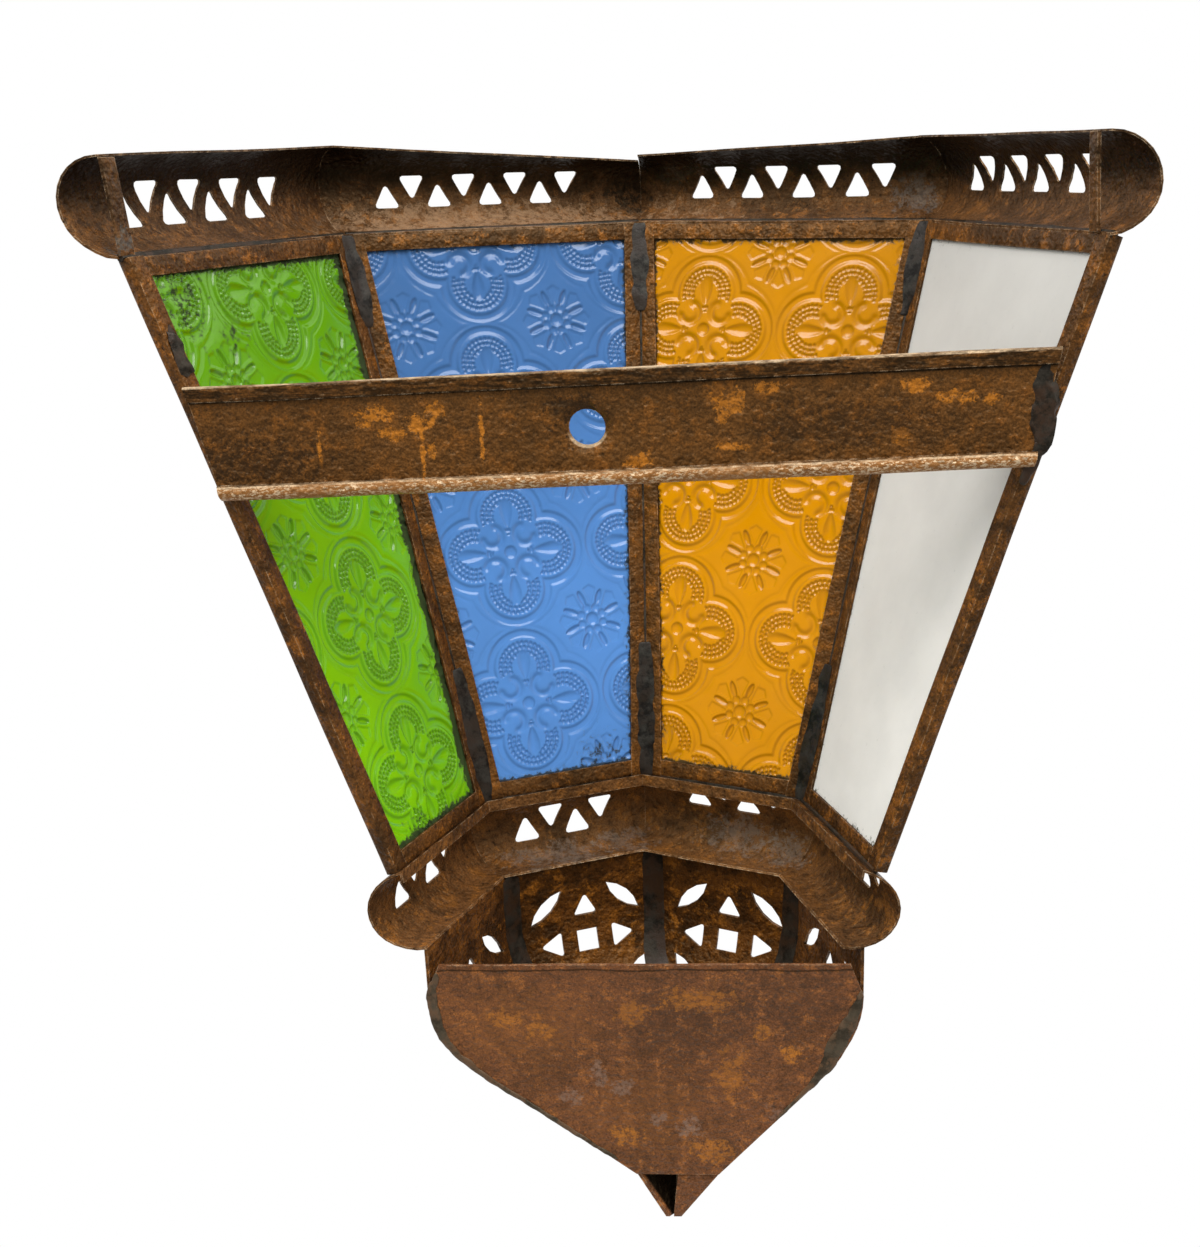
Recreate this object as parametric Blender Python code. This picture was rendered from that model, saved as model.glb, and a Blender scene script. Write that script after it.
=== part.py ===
"""Open-backed wall lantern: half an octagon of soldered sheet iron round four glass panes.

It hangs on a wall by a hole in its back strap. The wall is on the +Y side and the front faces -Y.
The origin is at the centre of that hole, on the strap's back face.
Corner 0 is at the wall on the +X side, corner 2 is the front one and corner 4 is at the wall on -X.
"""
from math import acos, asin, atan2, cos, dist, pi, radians, sin, tan

import bmesh
import bpy
from mathutils import Matrix, Vector

MM = 0.001

# Sheet metal, clearances and glass
SHEET = 0.7 * MM
GAP = 0.3 * MM
MITRE_GAP = 0.4 * MM
GLASS = 3.0 * MM

# Glazed body: half an octagon that narrows downwards, measured on the corners of its inner faces
FACES = 4
FACE_TURN = pi / FACES
BODY_TOP_RADIUS = 160.0 * MM
BODY_BOTTOM_RADIUS = 89.2 * MM
BODY_HEIGHT = 219.5 * MM
WALL_CORNER_SHARE = 0.971
CHANNEL_FACE = 6.2 * MM
CHANNEL_FOLD = 0.6 * MM
GLASS_GRIP = 4.2 * MM

# Crown: a half-round trough on top of the body
CROWN_RADIUS = 14.9 * MM
CROWN_LIP_INSET = 0.2 * MM
CROWN_BOTTOM_FLARE = [4.0 * MM, 0.0 * MM, 0.0 * MM, 0.0 * MM, 0.0 * MM]
CROWN_TOP_FLARE = [6.8 * MM, 2.5 * MM, 0.0 * MM, -5.8 * MM, -1.3 * MM]
CROWN_TOP_LIFT = [
    [0.9 * MM, 2.8 * MM],
    [2.8 * MM, -5.5 * MM],
    [-3.5 * MM, 0.6 * MM],
    [0.6 * MM, 0.4 * MM],
]
TIE_WIDTH = [5.6 * MM, 4.0 * MM]
TIE_INSET = [0.4 * MM, 5.0 * MM]

# Lower ring: a smaller half-round trough below the body, rolled a little and with a turned-in lip
RING_RADIUS = 15.3 * MM
RING_INSET = 5.4 * MM
RING_ROLL = radians(11.0)
RING_LIP = 3.5 * MM
RING_SHIFT = 1.5 * MM

# Base: gores with an upright wall, a bend and a cone that leans sideways to the finial
BASE_INSET = 0.6 * MM
BASE_WALL = 19.0 * MM
BASE_BEND = 45.0 * MM
BASE_HEIGHT = 97.0 * MM
BASE_BOTTOM_RADIUS = 16.0 * MM
BASE_SHIFT = -2.0 * MM
BASE_LEAN = -10.5 * MM
PLATE_DROP = 6.0 * MM
PLATE_CORNER_WIDTH = 4.5 * MM
PLATE_CORNER_HEIGHT = 13.0 * MM
FINIAL_HEIGHT = 20.0 * MM
FINIAL_TIP = 3.0 * MM
FINIAL_LEAN = 2.0 * MM

# Back strap with hemmed edges and the hanging hole
STRAP_HEIGHT = 38.0 * MM
STRAP_DROP = 57.2 * MM
STRAP_TILT = radians(1.46)
STRAP_OVERLAP = 0.8 * MM
STRAP_END_RAKE = radians(12.0)
HEM_WIDTH = 4.7 * MM
HEM_SPACE = 0.4 * MM
HANG_HOLE = 12.5 * MM
HANG_HOLE_OFFSET = 10.5 * MM

# Piercing: rounded triangles in the troughs and a rosette in each gore
TRIANGLE_BASE = 11.2 * MM
TRIANGLE_HEIGHT = 10.2 * MM
TRIANGLE_CORNER = 1.0 * MM
CROWN_PITCH = [10.6 * MM, 10.6 * MM, 11.2 * MM, 10.6 * MM]
CROWN_PAIRS = 4
CROWN_TRIANGLE_SCALE = [1.13, 0.95, 1.0, 1.04]
CROWN_ROW_ANGLES = [radians(95.0), radians(84.5)]
CROWN_PATTERN_SHIFT = [-2.0 * MM, -4.0 * MM, 1.5 * MM, -6.0 * MM]
CROWN_PATTERN_TURN = [0.0, 0.0, 0.0, radians(-10.0)]
RING_PITCH = 10.9 * MM
RING_PAIRS = 2
RING_TRIANGLE_SCALE = 1.03
RING_ROW_ANGLES = [radians(105.5), radians(94.0)]
RING_PATTERN_SHIFT = [0.0 * MM, 1.0 * MM, 4.0 * MM, 3.5 * MM]
RING_PATTERN_TURN = [radians(-9.0), 0.0, radians(-38.0), radians(-25.0)]
ROSETTE_DEPTH = [39.0 * MM, 35.0 * MM, 35.0 * MM, 35.0 * MM]
ROSETTE_SHIFT = [-2.0 * MM, 0.5 * MM, 3.0 * MM, 4.0 * MM]
ROSETTE_SQUARE = 9.2 * MM
ROSETTE_TRIANGLE_RADIUS = 15.8 * MM
ROSETTE_LENS_RADIUS = 23.6 * MM
ROSETTE_LENS_LENGTH = 20.5 * MM
ROSETTE_LENS_WIDTH = 6.2 * MM

# Solder: beads in the corners and flat patches
BEAD_WIDTH = 3.2 * MM
BEAD_TOP_LENGTH = 34.0 * MM
BEAD_BOTTOM_LENGTH = 52.0 * MM
BASE_BEAD_WIDTH = 4.2 * MM
BEAD_SWELL = [0.5, 0.9, 1.0, 0.85, 0.4]
BEAD_FILL = 0.8
PATCH_THICKNESS = 0.7 * MM
PATCH_PROFILE = [(1.0, 0.0), (0.8, 0.7), (0.4, 1.0)]
STRAP_PATCH = [6.3 * MM, 13.5 * MM]
FRAME_PATCH = [2.4 * MM, 8.0 * MM]

# Facets of the round shapes
TROUGH_STEPS = 14
BEND_STEPS = 8
FOLD_STEPS = 2
HOLE_STEPS = 24
PATCH_STEPS = 12
SHARP_ANGLE = radians(35.0)

# Values that follow from the sizes above
CORNER_STRETCH = 1 / cos(FACE_TURN / 2)
BODY_TOP = BODY_TOP_RADIUS / CORNER_STRETCH
BODY_BOTTOM = BODY_BOTTOM_RADIUS / CORNER_STRETCH
BODY_SLANT = atan2(BODY_TOP - BODY_BOTTOM, BODY_HEIGHT)
CHANNEL_DEPTH = GLASS + 2 * GAP + 2 * SHEET
CROWN_LIP = BODY_TOP - CROWN_LIP_INSET
CROWN_CENTRE_Z = CROWN_RADIUS + SHEET / 2 + GAP
RING_LINE = BODY_BOTTOM - RING_INSET
RING_SEAT = RING_RADIUS + SHEET / 2 + GAP
RING_CENTRE_Z = -BODY_HEIGHT - RING_SEAT / cos(BODY_SLANT) + (RING_INSET - RING_SHIFT) * tan(BODY_SLANT)
BASE_LINE = RING_LINE - BASE_INSET
BASE_TOP_Z = RING_CENTRE_Z - RING_SEAT
BASE_BOTTOM_Z = BASE_TOP_Z - BASE_HEIGHT
BASE_BOTTOM = BASE_BOTTOM_RADIUS / CORNER_STRETCH

PANES = ["green", "blue", "amber", "white"]
GLASS_COLOURS = {
    "green": (0.15, 0.36, 0.02),
    "blue": (0.08, 0.22, 0.55),
    "amber": (0.63, 0.27, 0.01),
    "white": (0.70, 0.68, 0.64),
}
RUST = (0.13, 0.055, 0.018)
DARK_RUST = (0.06, 0.025, 0.010)
SOLDER = (0.11, 0.105, 0.095)


def clear_scene():
    for old in list(bpy.data.objects):
        bpy.data.objects.remove(old, do_unlink=True)


def make_material(name, colour, roughness, metallic):
    material = bpy.data.materials.new(name)
    material.use_nodes = True
    shader = material.node_tree.nodes["Principled BSDF"]
    shader.inputs["Base Color"].default_value = (*colour, 1)
    shader.inputs["Roughness"].default_value = roughness
    shader.inputs["Metallic"].default_value = metallic
    return material


def add_empty(name, matrix, parent=None):
    empty = bpy.data.objects.new(name, None)
    bpy.context.scene.collection.objects.link(empty)
    empty.parent = parent
    empty.matrix_local = matrix
    return empty


def add_object(name, bm, parent, material=None):
    """Turn a finished bmesh into a named object with outward faces."""
    bmesh.ops.recalc_face_normals(bm, faces=bm.faces)
    mesh = bpy.data.meshes.new(name)
    bm.to_mesh(mesh)
    bm.free()
    mesh.shade_smooth()
    mesh.set_sharp_from_angle(angle=SHARP_ANGLE)
    item = bpy.data.objects.new(name, mesh)
    bpy.context.scene.collection.objects.link(item)
    item.parent = parent
    if material:
        mesh.materials.append(material)
    return item


def iron(name, colour=RUST):
    return make_material(name, colour, 0.75, 0.35)


def solder(name):
    return make_material(name, SOLDER, 0.55, 0.6)


def fillet(points, radius, steps, closed=False):
    """Round the corners of a path, or of a closed outline, with arcs of one radius."""
    rounded = [] if closed else [points[0]]
    count = len(points)
    for index in range(0 if closed else 1, count if closed else count - 1):
        here = Vector(points[index])
        before = (Vector(points[index - 1]) - here).normalized()
        after = (Vector(points[(index + 1) % count]) - here).normalized()
        half = before.angle(after) / 2
        centre = here + (before + after).normalized() * (radius / sin(half))
        start = here + before * (radius / tan(half)) - centre
        turn = start.angle_signed(here + after * (radius / tan(half)) - centre)
        for step in range(steps + 1):
            spoke = start.copy()
            spoke.rotate(Matrix.Rotation(-turn * step / steps, 2))
            rounded.append(tuple(centre + spoke))
    return rounded if closed else rounded + [points[-1]]


def arc(centre, radius, start, end, steps):
    """Points of an arc, with angles measured from straight up towards the first axis."""
    angles = [start + (end - start) * step / steps for step in range(steps + 1)]
    return [(centre[0] + radius * sin(angle), centre[1] + radius * cos(angle)) for angle in angles]


def parallel(path, distance):
    """The path moved sideways, to its left, by a distance."""
    moved = []
    for index, point in enumerate(path):
        here = Vector(point)
        into = (here - Vector(path[index - 1])).normalized() if index else None
        onward = (Vector(path[index + 1]) - here).normalized() if index < len(path) - 1 else into
        into = into or onward
        side = (into + onward).normalized()
        reach = distance / side.dot(onward)
        moved.append((point[0] - side.y * reach, point[1] + side.x * reach))
    return moved


def ribbon(path):
    """Closed outline of a sheet whose middle follows the path."""
    return parallel(path, SHEET / 2) + parallel(path, -SHEET / 2)[::-1]


def walk(path, distance):
    """Point and direction at a distance along a path."""
    for start, end in zip(path, path[1:]):
        step = Vector(end) - Vector(start)
        if distance <= step.length:
            return Vector(start) + step.normalized() * distance, step.normalized()
        distance -= step.length
    return Vector(path[-1]), step.normalized()


def loft(rings):
    """Closed body through rings of points, with flat ends."""
    bm = bmesh.new()
    loops = [[bm.verts.new(point) for point in ring] for ring in rings]
    size = len(loops[0])
    for low, high in zip(loops, loops[1:]):
        for index in range(size):
            after = (index + 1) % size
            bm.faces.new((low[index], low[after], high[after], high[index]))
    bm.faces.new(loops[0])
    bm.faces.new(loops[-1][::-1])
    return bm


def along(k):
    """Direction from corner k to the next corner."""
    return (corner(k + 1, 1, 0) - corner(k, 1, 0)).normalized()


def corner(k, apothem, z):
    """Point over corner k for a face at this distance from the axis: the wall corners are drawn in."""
    angle = -k * FACE_TURN
    radius = apothem * CORNER_STRETCH * (WALL_CORNER_SHARE if k in (0, FACES) else 1)
    return Vector((radius * cos(angle), radius * sin(angle), z))


def mitred(k, left, right):
    """Sheet between corners k and k + 1, cut to the two mitre planes with half the mitre gap."""
    trim = along(k) * MITRE_GAP / 2
    first = [corner(k, apothem, z) + trim for apothem, z in left]
    second = [corner(k + 1, apothem, z) - trim for apothem, z in right]
    return loft([first, second])


def triangle(point_up, scale=1):
    """Rounded triangle, centred on half its height."""
    half = TRIANGLE_BASE * scale / 2
    tip = TRIANGLE_HEIGHT * scale / 2 if point_up else -TRIANGLE_HEIGHT * scale / 2
    return fillet([(-half, -tip), (half, -tip), (0, tip)], TRIANGLE_CORNER, FOLD_STEPS, closed=True)


def square():
    half = ROSETTE_SQUARE / 2
    return [(-half, -half), (half, -half), (half, half), (-half, half)]


def lens():
    """Pointed petal made of two arcs."""
    half = ROSETTE_LENS_LENGTH / 2
    bulge = ROSETTE_LENS_WIDTH / 2
    radius = (half ** 2 + bulge ** 2) / (2 * bulge)
    spread = asin(half / radius)
    upper = arc((0, bulge - radius), radius, -spread, spread, BEND_STEPS // 2)
    return upper + [(x, -y) for x, y in upper[-2:0:-1]]


def punch(target, name, shapes, reach):
    """Cut shapes through a sheet: each is an outline and the matrix of its place on the surface."""
    bm = bmesh.new()
    for outline, place in shapes:
        ends = []
        for height in (-reach, reach):
            ends.append([bm.verts.new(place @ Vector((x, y, height))) for x, y in outline])
        for index, vert in enumerate(ends[0]):
            after = (index + 1) % len(outline)
            bm.faces.new((vert, ends[0][after], ends[1][after], ends[1][index]))
        bm.faces.new(ends[0])
        bm.faces.new(ends[1][::-1])
    cutter = add_object(name, bm, target.parent)
    cutter.matrix_local = target.matrix_local
    cutter.hide_render = True
    cutter.display_type = "WIRE"
    cut = target.modifiers.new("piercing", "BOOLEAN")
    cut.operation = "DIFFERENCE"
    cut.solver = "EXACT"
    cut.object = cutter


def surface_place(point, across, upward):
    """Matrix of a tangent plane: its X runs across, its Y upward and its Z out of the sheet."""
    rotation = Matrix((across, upward, across.cross(upward))).transposed()
    return Matrix.Translation(point) @ rotation.to_4x4()


def panel_frame(k):
    """Matrix of a glazed face at the middle of its top edge, and its left and right edges there."""
    edges = []
    for index in (k, k + 1):
        edges.append([corner(index, BODY_TOP, 0), corner(index, BODY_BOTTOM, -BODY_HEIGHT)])
    across = along(k)
    outward = (edges[0][0] - edges[0][1]).cross(across).normalized()
    rotation = Matrix((across, outward, across.cross(outward))).transposed()
    frame = Matrix.Translation((edges[0][0] + edges[1][0]) / 2) @ rotation.to_4x4()
    return frame, [[frame.inverted() @ point for point in edge] for edge in edges]


def panel_edge(edges, side, z, inset):
    """Sideways place of the left (-1) or right (1) edge at a height, an inset within its clearance."""
    top, bottom = edges[max(side, 0)]
    return top.x + (bottom.x - top.x) * z / bottom.z - side * (GAP + inset)


def channel_path():
    """Middle of a folded channel: two legs and a spine, with the spine on the first axis' far side."""
    middle = SHEET / 2
    far = CHANNEL_DEPTH - middle
    legs = [(-CHANNEL_FACE, middle), (-middle, middle), (-middle, far), (-CHANNEL_FACE, far)]
    return fillet(legs, CHANNEL_FOLD, FOLD_STEPS)


def side_channel(edges, side):
    """Upright channel over the panel's whole slant, on its left (-1) or right (1)."""
    rings = []
    for z in (edges[0][1].z, 0):
        rings.append([Vector((panel_edge(edges, side, z, -x), y, z)) for x, y in ribbon(channel_path())])
    return loft(rings)


def cross_channel(edges, level, up):
    """Level channel between the side ones, at the panel's top (up = 1) or bottom (up = -1)."""
    rings = []
    for side in (-1, 1):
        ring = []
        for reach, y in ribbon(channel_path()):
            z = level + up * reach
            ring.append(Vector((panel_edge(edges, side, z, CHANNEL_FACE + GAP), y, z)))
        rings.append(ring)
    return loft(rings)


def pane(edges):
    """Glass trapezium held in the four channels."""
    margin = CHANNEL_FACE - GLASS_GRIP
    low, high = edges[0][1].z + margin, -margin
    rings = []
    for y in (SHEET + GAP, SHEET + GAP + GLASS):
        rings.append([
            Vector((panel_edge(edges, side, z, margin), y, z))
            for side, z in ((-1, low), (1, low), (1, high), (-1, high))
        ])
    return loft(rings)


def build_panel(k, body):
    """One pane in its frame, on an empty at the middle of the panel's top inner edge."""
    name = PANES[k]
    frame, edges = panel_frame(k)
    panel = add_empty("panel_" + name, frame, body)
    glass = make_material("glass_" + name, GLASS_COLOURS[name], 0.15, 0.0)
    add_object("glass_" + name, pane(edges), panel, glass)
    channels = {
        "left": side_channel(edges, -1),
        "right": side_channel(edges, 1),
        "top": cross_channel(edges, 0, 1),
        "bottom": cross_channel(edges, edges[0][1].z, -1),
    }
    for place, bm in channels.items():
        channel = "channel_" + name + "_" + place
        add_object(channel, bm, panel, iron(channel))
    return panel


def crown_profile(k, lift):
    """Half-round crown section at corner k, with lips bent out and the top one lifted by hand."""
    moved = []
    for apothem, z in arc((CROWN_LIP, CROWN_CENTRE_Z), CROWN_RADIUS, 0, pi, TROUGH_STEPS):
        share = (z - CROWN_CENTRE_Z + CROWN_RADIUS) / (2 * CROWN_RADIUS)
        moved.append((apothem + crown_flare(k, share), z + lift * share))
    return moved


def crown_flare(k, share):
    """How far the crown is bent out over corner k, at a share of its height."""
    bent = CROWN_BOTTOM_FLARE[k] + (CROWN_TOP_FLARE[k] - CROWN_BOTTOM_FLARE[k]) * share
    return bent / CORNER_STRETCH


def trough_holes(k, line, centre_z, radius, pitch, pairs, rows, shift, scale):
    """Alternating triangles along a trough: point-up ones in the lower row, point-down ones above."""
    start = corner(k, line, centre_z)
    middle = (corner(k + 1, line, centre_z) - start).length / 2 + shift
    outward = along(k).cross(Vector((0, 0, -1)))
    shapes = []
    for index in range(2 * pairs):
        angle = rows[index % 2]
        distance = middle + (index - pairs + 0.5) * pitch
        radial = outward * sin(angle) + Vector((0, 0, cos(angle)))
        point = start + along(k) * distance + radial * radius
        place = surface_place(point, along(k), along(k).cross(radial))
        shapes.append((triangle(index % 2 == 0, scale), place))
    return shapes


def build_crown(body):
    """Four pierced trough segments and the two straps that tie their lips at the wall."""
    for k in range(FACES):
        name = "crown_segment_" + str(k + 1)
        left = crown_profile(k, CROWN_TOP_LIFT[k][0])
        right = crown_profile(k + 1, CROWN_TOP_LIFT[k][1])
        segment = add_object(name, mitred(k, ribbon(left), ribbon(right)), body, iron(name))
        rows = [angle + CROWN_PATTERN_TURN[k] for angle in CROWN_ROW_ANGLES]
        holes = trough_holes(k, CROWN_LIP, CROWN_CENTRE_Z, CROWN_RADIUS, CROWN_PITCH[k], CROWN_PAIRS,
                             rows, CROWN_PATTERN_SHIFT[k], CROWN_TRIANGLE_SCALE[k])
        punch(segment, name + "_punch", holes, CROWN_RADIUS / 2)
    build_tie("crown_tie_left", body, 0, 1, along(0))
    build_tie("crown_tie_right", body, FACES, FACES - 1, -along(FACES - 1))


def build_tie(name, body, k, neighbour, inward):
    """Flat strip on the inner side of the crown's lips, close to its end at corner k."""
    face = (corner(neighbour, CROWN_LIP, 0) - corner(k, CROWN_LIP, 0)).length
    near = TIE_INSET[k // FACES]
    far = near + TIE_WIDTH[k // FACES]
    rings = []
    for z, share in ((CROWN_CENTRE_Z - CROWN_RADIUS, 0), (CROWN_CENTRE_Z + CROWN_RADIUS, 1)):
        flare = crown_flare(k, share)
        far_flare = flare + (crown_flare(neighbour, share) - flare) * far / face
        lip = CROWN_LIP + min(flare, far_flare) - GAP
        rings.append([
            corner(k, lip - depth, z) + inward * distance
            for depth, distance in ((0, near), (0, far), (SHEET, far), (SHEET, near))
        ])
    add_object(name, loft(rings), body, iron(name))


def build_ring(body):
    """Four pierced trough segments under the panes, each with its top lip turned in."""
    path = arc((RING_LINE, RING_CENTRE_Z), RING_RADIUS, RING_ROLL, pi + RING_ROLL, TROUGH_STEPS)
    chord = (Vector(path[-1]) - Vector(path[0])).normalized()
    lip = Vector(path[0]) + chord * RING_LIP
    section = ribbon([tuple(lip)] + path)
    ring = add_empty("ring", Matrix.Translation((RING_SHIFT, 0, 0)), body)
    for k in range(FACES):
        name = "ring_segment_" + str(k + 1)
        segment = add_object(name, mitred(k, section, section), ring, iron(name))
        rows = [angle + RING_PATTERN_TURN[k] for angle in RING_ROW_ANGLES]
        holes = trough_holes(k, RING_LINE, RING_CENTRE_Z, RING_RADIUS, RING_PITCH, RING_PAIRS,
                             rows, RING_PATTERN_SHIFT[k], RING_TRIANGLE_SCALE)
        punch(segment, name + "_punch", holes, RING_RADIUS / 4)


def gore_path():
    """Section of the base, from top to bottom: an upright wall, a bend and a cone tangent to it."""
    centre = (BASE_LINE - BASE_BEND, BASE_TOP_Z - BASE_WALL)
    bottom = (BASE_BOTTOM, BASE_BOTTOM_Z)
    toward = atan2(bottom[0] - centre[0], bottom[1] - centre[1]) % (2 * pi)
    turn = toward - acos(BASE_BEND / dist(centre, bottom))
    return [(BASE_LINE, BASE_TOP_Z)] + arc(centre, BASE_BEND, pi / 2, turn, BEND_STEPS) + [bottom]


def lean(point):
    """Move a point of the base sideways: a little all over, and more down the cone to the finial."""
    cone_top = BASE_TOP_Z - BASE_WALL - BASE_BEND / 2
    share = max(0, (cone_top - point.z) / (cone_top - BASE_BOTTOM_Z))
    return point + Vector((BASE_SHIFT + BASE_LEAN * share, 0, 0))


def lean_all(bm):
    for vert in bm.verts:
        vert.co = lean(vert.co)
    return bm


def rosette(k, path):
    """Piercing of one gore: a square, four triangles that point away from it and four petals."""
    outward = along(k).cross(Vector((0, 0, -1)))
    shapes = []
    spots = [(square(), 0, 0, 0)]
    for quarter in range(4):
        turn = quarter * pi / 2
        spots.append((triangle(True), ROSETTE_TRIANGLE_RADIUS, turn, turn))
        spots.append((lens(), ROSETTE_LENS_RADIUS, turn + pi / 4, turn + pi / 4))
    for outline, radius, direction, turn in spots:
        point, down = walk(path, ROSETTE_DEPTH[k] - radius * cos(direction))
        sideways = ROSETTE_SHIFT[k] - radius * sin(direction)
        middle = (corner(k, point.x, point.y) + corner(k + 1, point.x, point.y)) / 2
        upward = -(outward * down.x + Vector((0, 0, down.y)))
        place = surface_place(lean(middle + along(k) * sideways), along(k), upward)
        shapes.append((outline, place @ Matrix.Rotation(turn, 4, "Z")))
    return shapes


def build_base(body):
    """Four pierced gores, the solder along their seams, the plate at the wall and the finial."""
    path = gore_path()
    section = ribbon(path)
    for k in range(FACES):
        name = "base_gore_" + str(k + 1)
        gore = add_object(name, lean_all(mitred(k, section, section)), body, iron(name, DARK_RUST))
        punch(gore, name + "_punch", rosette(k, path), ROSETTE_TRIANGLE_RADIUS / 4)
    inside = parallel(path, -SHEET / 2 - GAP)
    for k in range(1, FACES):
        bm = lean_all(corner_bead(k, inside[:-1], [BASE_BEAD_WIDTH] * (len(inside) - 1)))
        name = "base_seam_" + str(k)
        add_object(name, bm, body, iron(name, DARK_RUST))
    build_plate(body, parallel(path, SHEET / 2))
    build_finial(body)


def build_plate(body, outside):
    """Flat plate over the wall ends of the gores, with its upper corners cut off."""
    top = BASE_TOP_Z - PLATE_DROP
    half = [(corner(0, BASE_LINE, 0).x - PLATE_CORNER_WIDTH, top)]
    half += [(corner(0, apothem, 0).x, z) for apothem, z in outside if z < top - PLATE_CORNER_HEIGHT]
    outline = half + [(-x, z) for x, z in half[::-1]]
    rings = []
    for y in (GAP, GAP + SHEET):
        rings.append([lean(Vector((x, y, z))) for x, z in outline])
    add_object("back_plate", loft(rings), body, iron("back_plate"))


def build_finial(body):
    """Half pyramid folded from one sheet under the gores, with a flap over half of its wall side."""
    top = BASE_BOTTOM_Z - SHEET - GAP
    rings = []
    for radius, z, aside in ((BASE_BOTTOM_RADIUS, top, 0), (FINIAL_TIP, top - FINIAL_HEIGHT, FINIAL_LEAN)):
        axis = lean(Vector((aside, 0, top))).x
        inner = radius - 2 * SHEET
        outline = [(inner, 0), (radius, 0), (0, -radius), (-radius, 0)]
        outline += [(0, 0), (0, -SHEET), (SHEET - inner, -SHEET), (0, -inner)]
        rings.append([Vector((axis + x, y, z)) for x, y in outline])
    add_object("finial", loft(rings), body, iron("finial"))


def corner_bead(k, path, widths):
    """Solder along an inside corner: it follows the path and runs a width onto both faces."""
    rings = []
    for (apothem, z), width in zip(path, widths):
        root = corner(k, apothem, z)
        left = root - along(k - 1) * width
        right = root + along(k) * width
        rings.append([left, root, right, root.lerp((left + right) / 2, BEAD_FILL)])
    return loft(rings)


def build_seams(body):
    """Solder beads at the top and the bottom of the three inner corners of the glazed body."""
    bottom = BODY_HEIGHT - BEAD_BOTTOM_LENGTH
    lengths = {"top": (GAP, BEAD_TOP_LENGTH), "bottom": (bottom, BODY_HEIGHT - GAP)}
    for k in range(1, FACES):
        for place, (start, end) in lengths.items():
            path = []
            for step in range(len(BEAD_SWELL)):
                z = -(start + (end - start) * step / (len(BEAD_SWELL) - 1))
                path.append((BODY_TOP + z * tan(BODY_SLANT) - GAP / cos(BODY_SLANT), z))
            bm = corner_bead(k, path, [BEAD_WIDTH * share for share in BEAD_SWELL])
            name = "seam_solder_" + place + "_" + str(k)
            add_object(name, bm, body, solder(name))


def patch(half_sizes, place):
    """Low oval lump of solder on a surface."""
    rings = []
    for share, height in PATCH_PROFILE:
        ring = []
        for step in range(PATCH_STEPS):
            angle = 2 * pi * step / PATCH_STEPS
            x = half_sizes[0] * share * cos(angle)
            y = half_sizes[1] * share * sin(angle)
            ring.append(place @ Vector((x, y, PATCH_THICKNESS * height)))
        rings.append(ring)
    return loft(rings)


def strap_path():
    """Section of the strap: hem leaf, fold, web, fold and hem leaf, with the web's back at zero."""
    web = -SHEET / 2
    bend = (SHEET + HEM_SPACE) / 2
    leaf = web + 2 * bend
    fold = STRAP_HEIGHT / 2 - bend - SHEET / 2
    end = STRAP_HEIGHT / 2 - HEM_WIDTH
    upper = arc((web + bend, fold), bend, pi / 2, -pi / 2, 2 * FOLD_STEPS)
    lower = [(y, -z) for y, z in upper[::-1]]
    return [(leaf, end)] + upper + lower + [(leaf, -end)]


def build_strap(tilted, panels):
    """Hemmed strap across the open back, with its hanging hole and the solder at its ends."""
    share = STRAP_DROP / BODY_HEIGHT
    half = corner(0, BODY_TOP + (BODY_BOTTOM - BODY_TOP) * share, 0).x + STRAP_OVERLAP
    rings = []
    for side in (-1, 1):
        section = ribbon(strap_path())
        rings.append([Vector((side * (half + z * tan(STRAP_END_RAKE)), y, z)) for y, z in section])
    strap = add_object("back_strap", loft(rings), tilted, iron("back_strap"))
    circle = arc((0, 0), HANG_HOLE / 2, 0, 2 * pi, HOLE_STEPS)[:-1]
    hole = surface_place(Vector((HANG_HOLE_OFFSET, 0, 0)), Vector((-1, 0, 0)), Vector((0, 0, 1)))
    punch(strap, "back_strap_punch", [(circle, hole)], HEM_WIDTH)
    seat = Vector((STRAP_PATCH[0] / 2 - half, GAP, 0))
    lump = patch(STRAP_PATCH, surface_place(seat, Vector((-1, 0, 0)), Vector((0, 0, 1))))
    add_object("strap_solder_right", lump, tilted, solder("strap_solder_right"))
    level = (STRAP_HEIGHT / 2 + FRAME_PATCH[1] - STRAP_DROP) / cos(BODY_SLANT)
    spot = Vector((panel_edge(panel_frame(0)[1], -1, level, CHANNEL_FACE / 2), -GAP, level))
    lump = patch(FRAME_PATCH, surface_place(spot, Vector((1, 0, 0)), Vector((0, 0, 1))))
    add_object("strap_solder_left", lump, panels[0], solder("strap_solder_left"))


def build_lantern():
    clear_scene()
    tilt = Matrix.Rotation(STRAP_TILT, 4, "Y")
    sconce = add_empty("sconce", Matrix.Translation(tilt @ Vector((-HANG_HOLE_OFFSET, 0, 0))))
    tilted = add_empty("strap", tilt, sconce)
    body = add_empty("lantern", Matrix.Translation((0, -SHEET - GAP, STRAP_DROP)), sconce)
    panels = [build_panel(k, body) for k in range(FACES)]
    build_seams(body)
    build_crown(body)
    build_ring(body)
    build_base(body)
    build_strap(tilted, panels)


build_lantern()
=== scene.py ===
"""Looks of the open-backed wall lantern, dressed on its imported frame."""
from math import cos, pi, radians, sin

import bpy
import numpy as np
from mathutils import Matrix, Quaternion, Vector, noise


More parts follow.
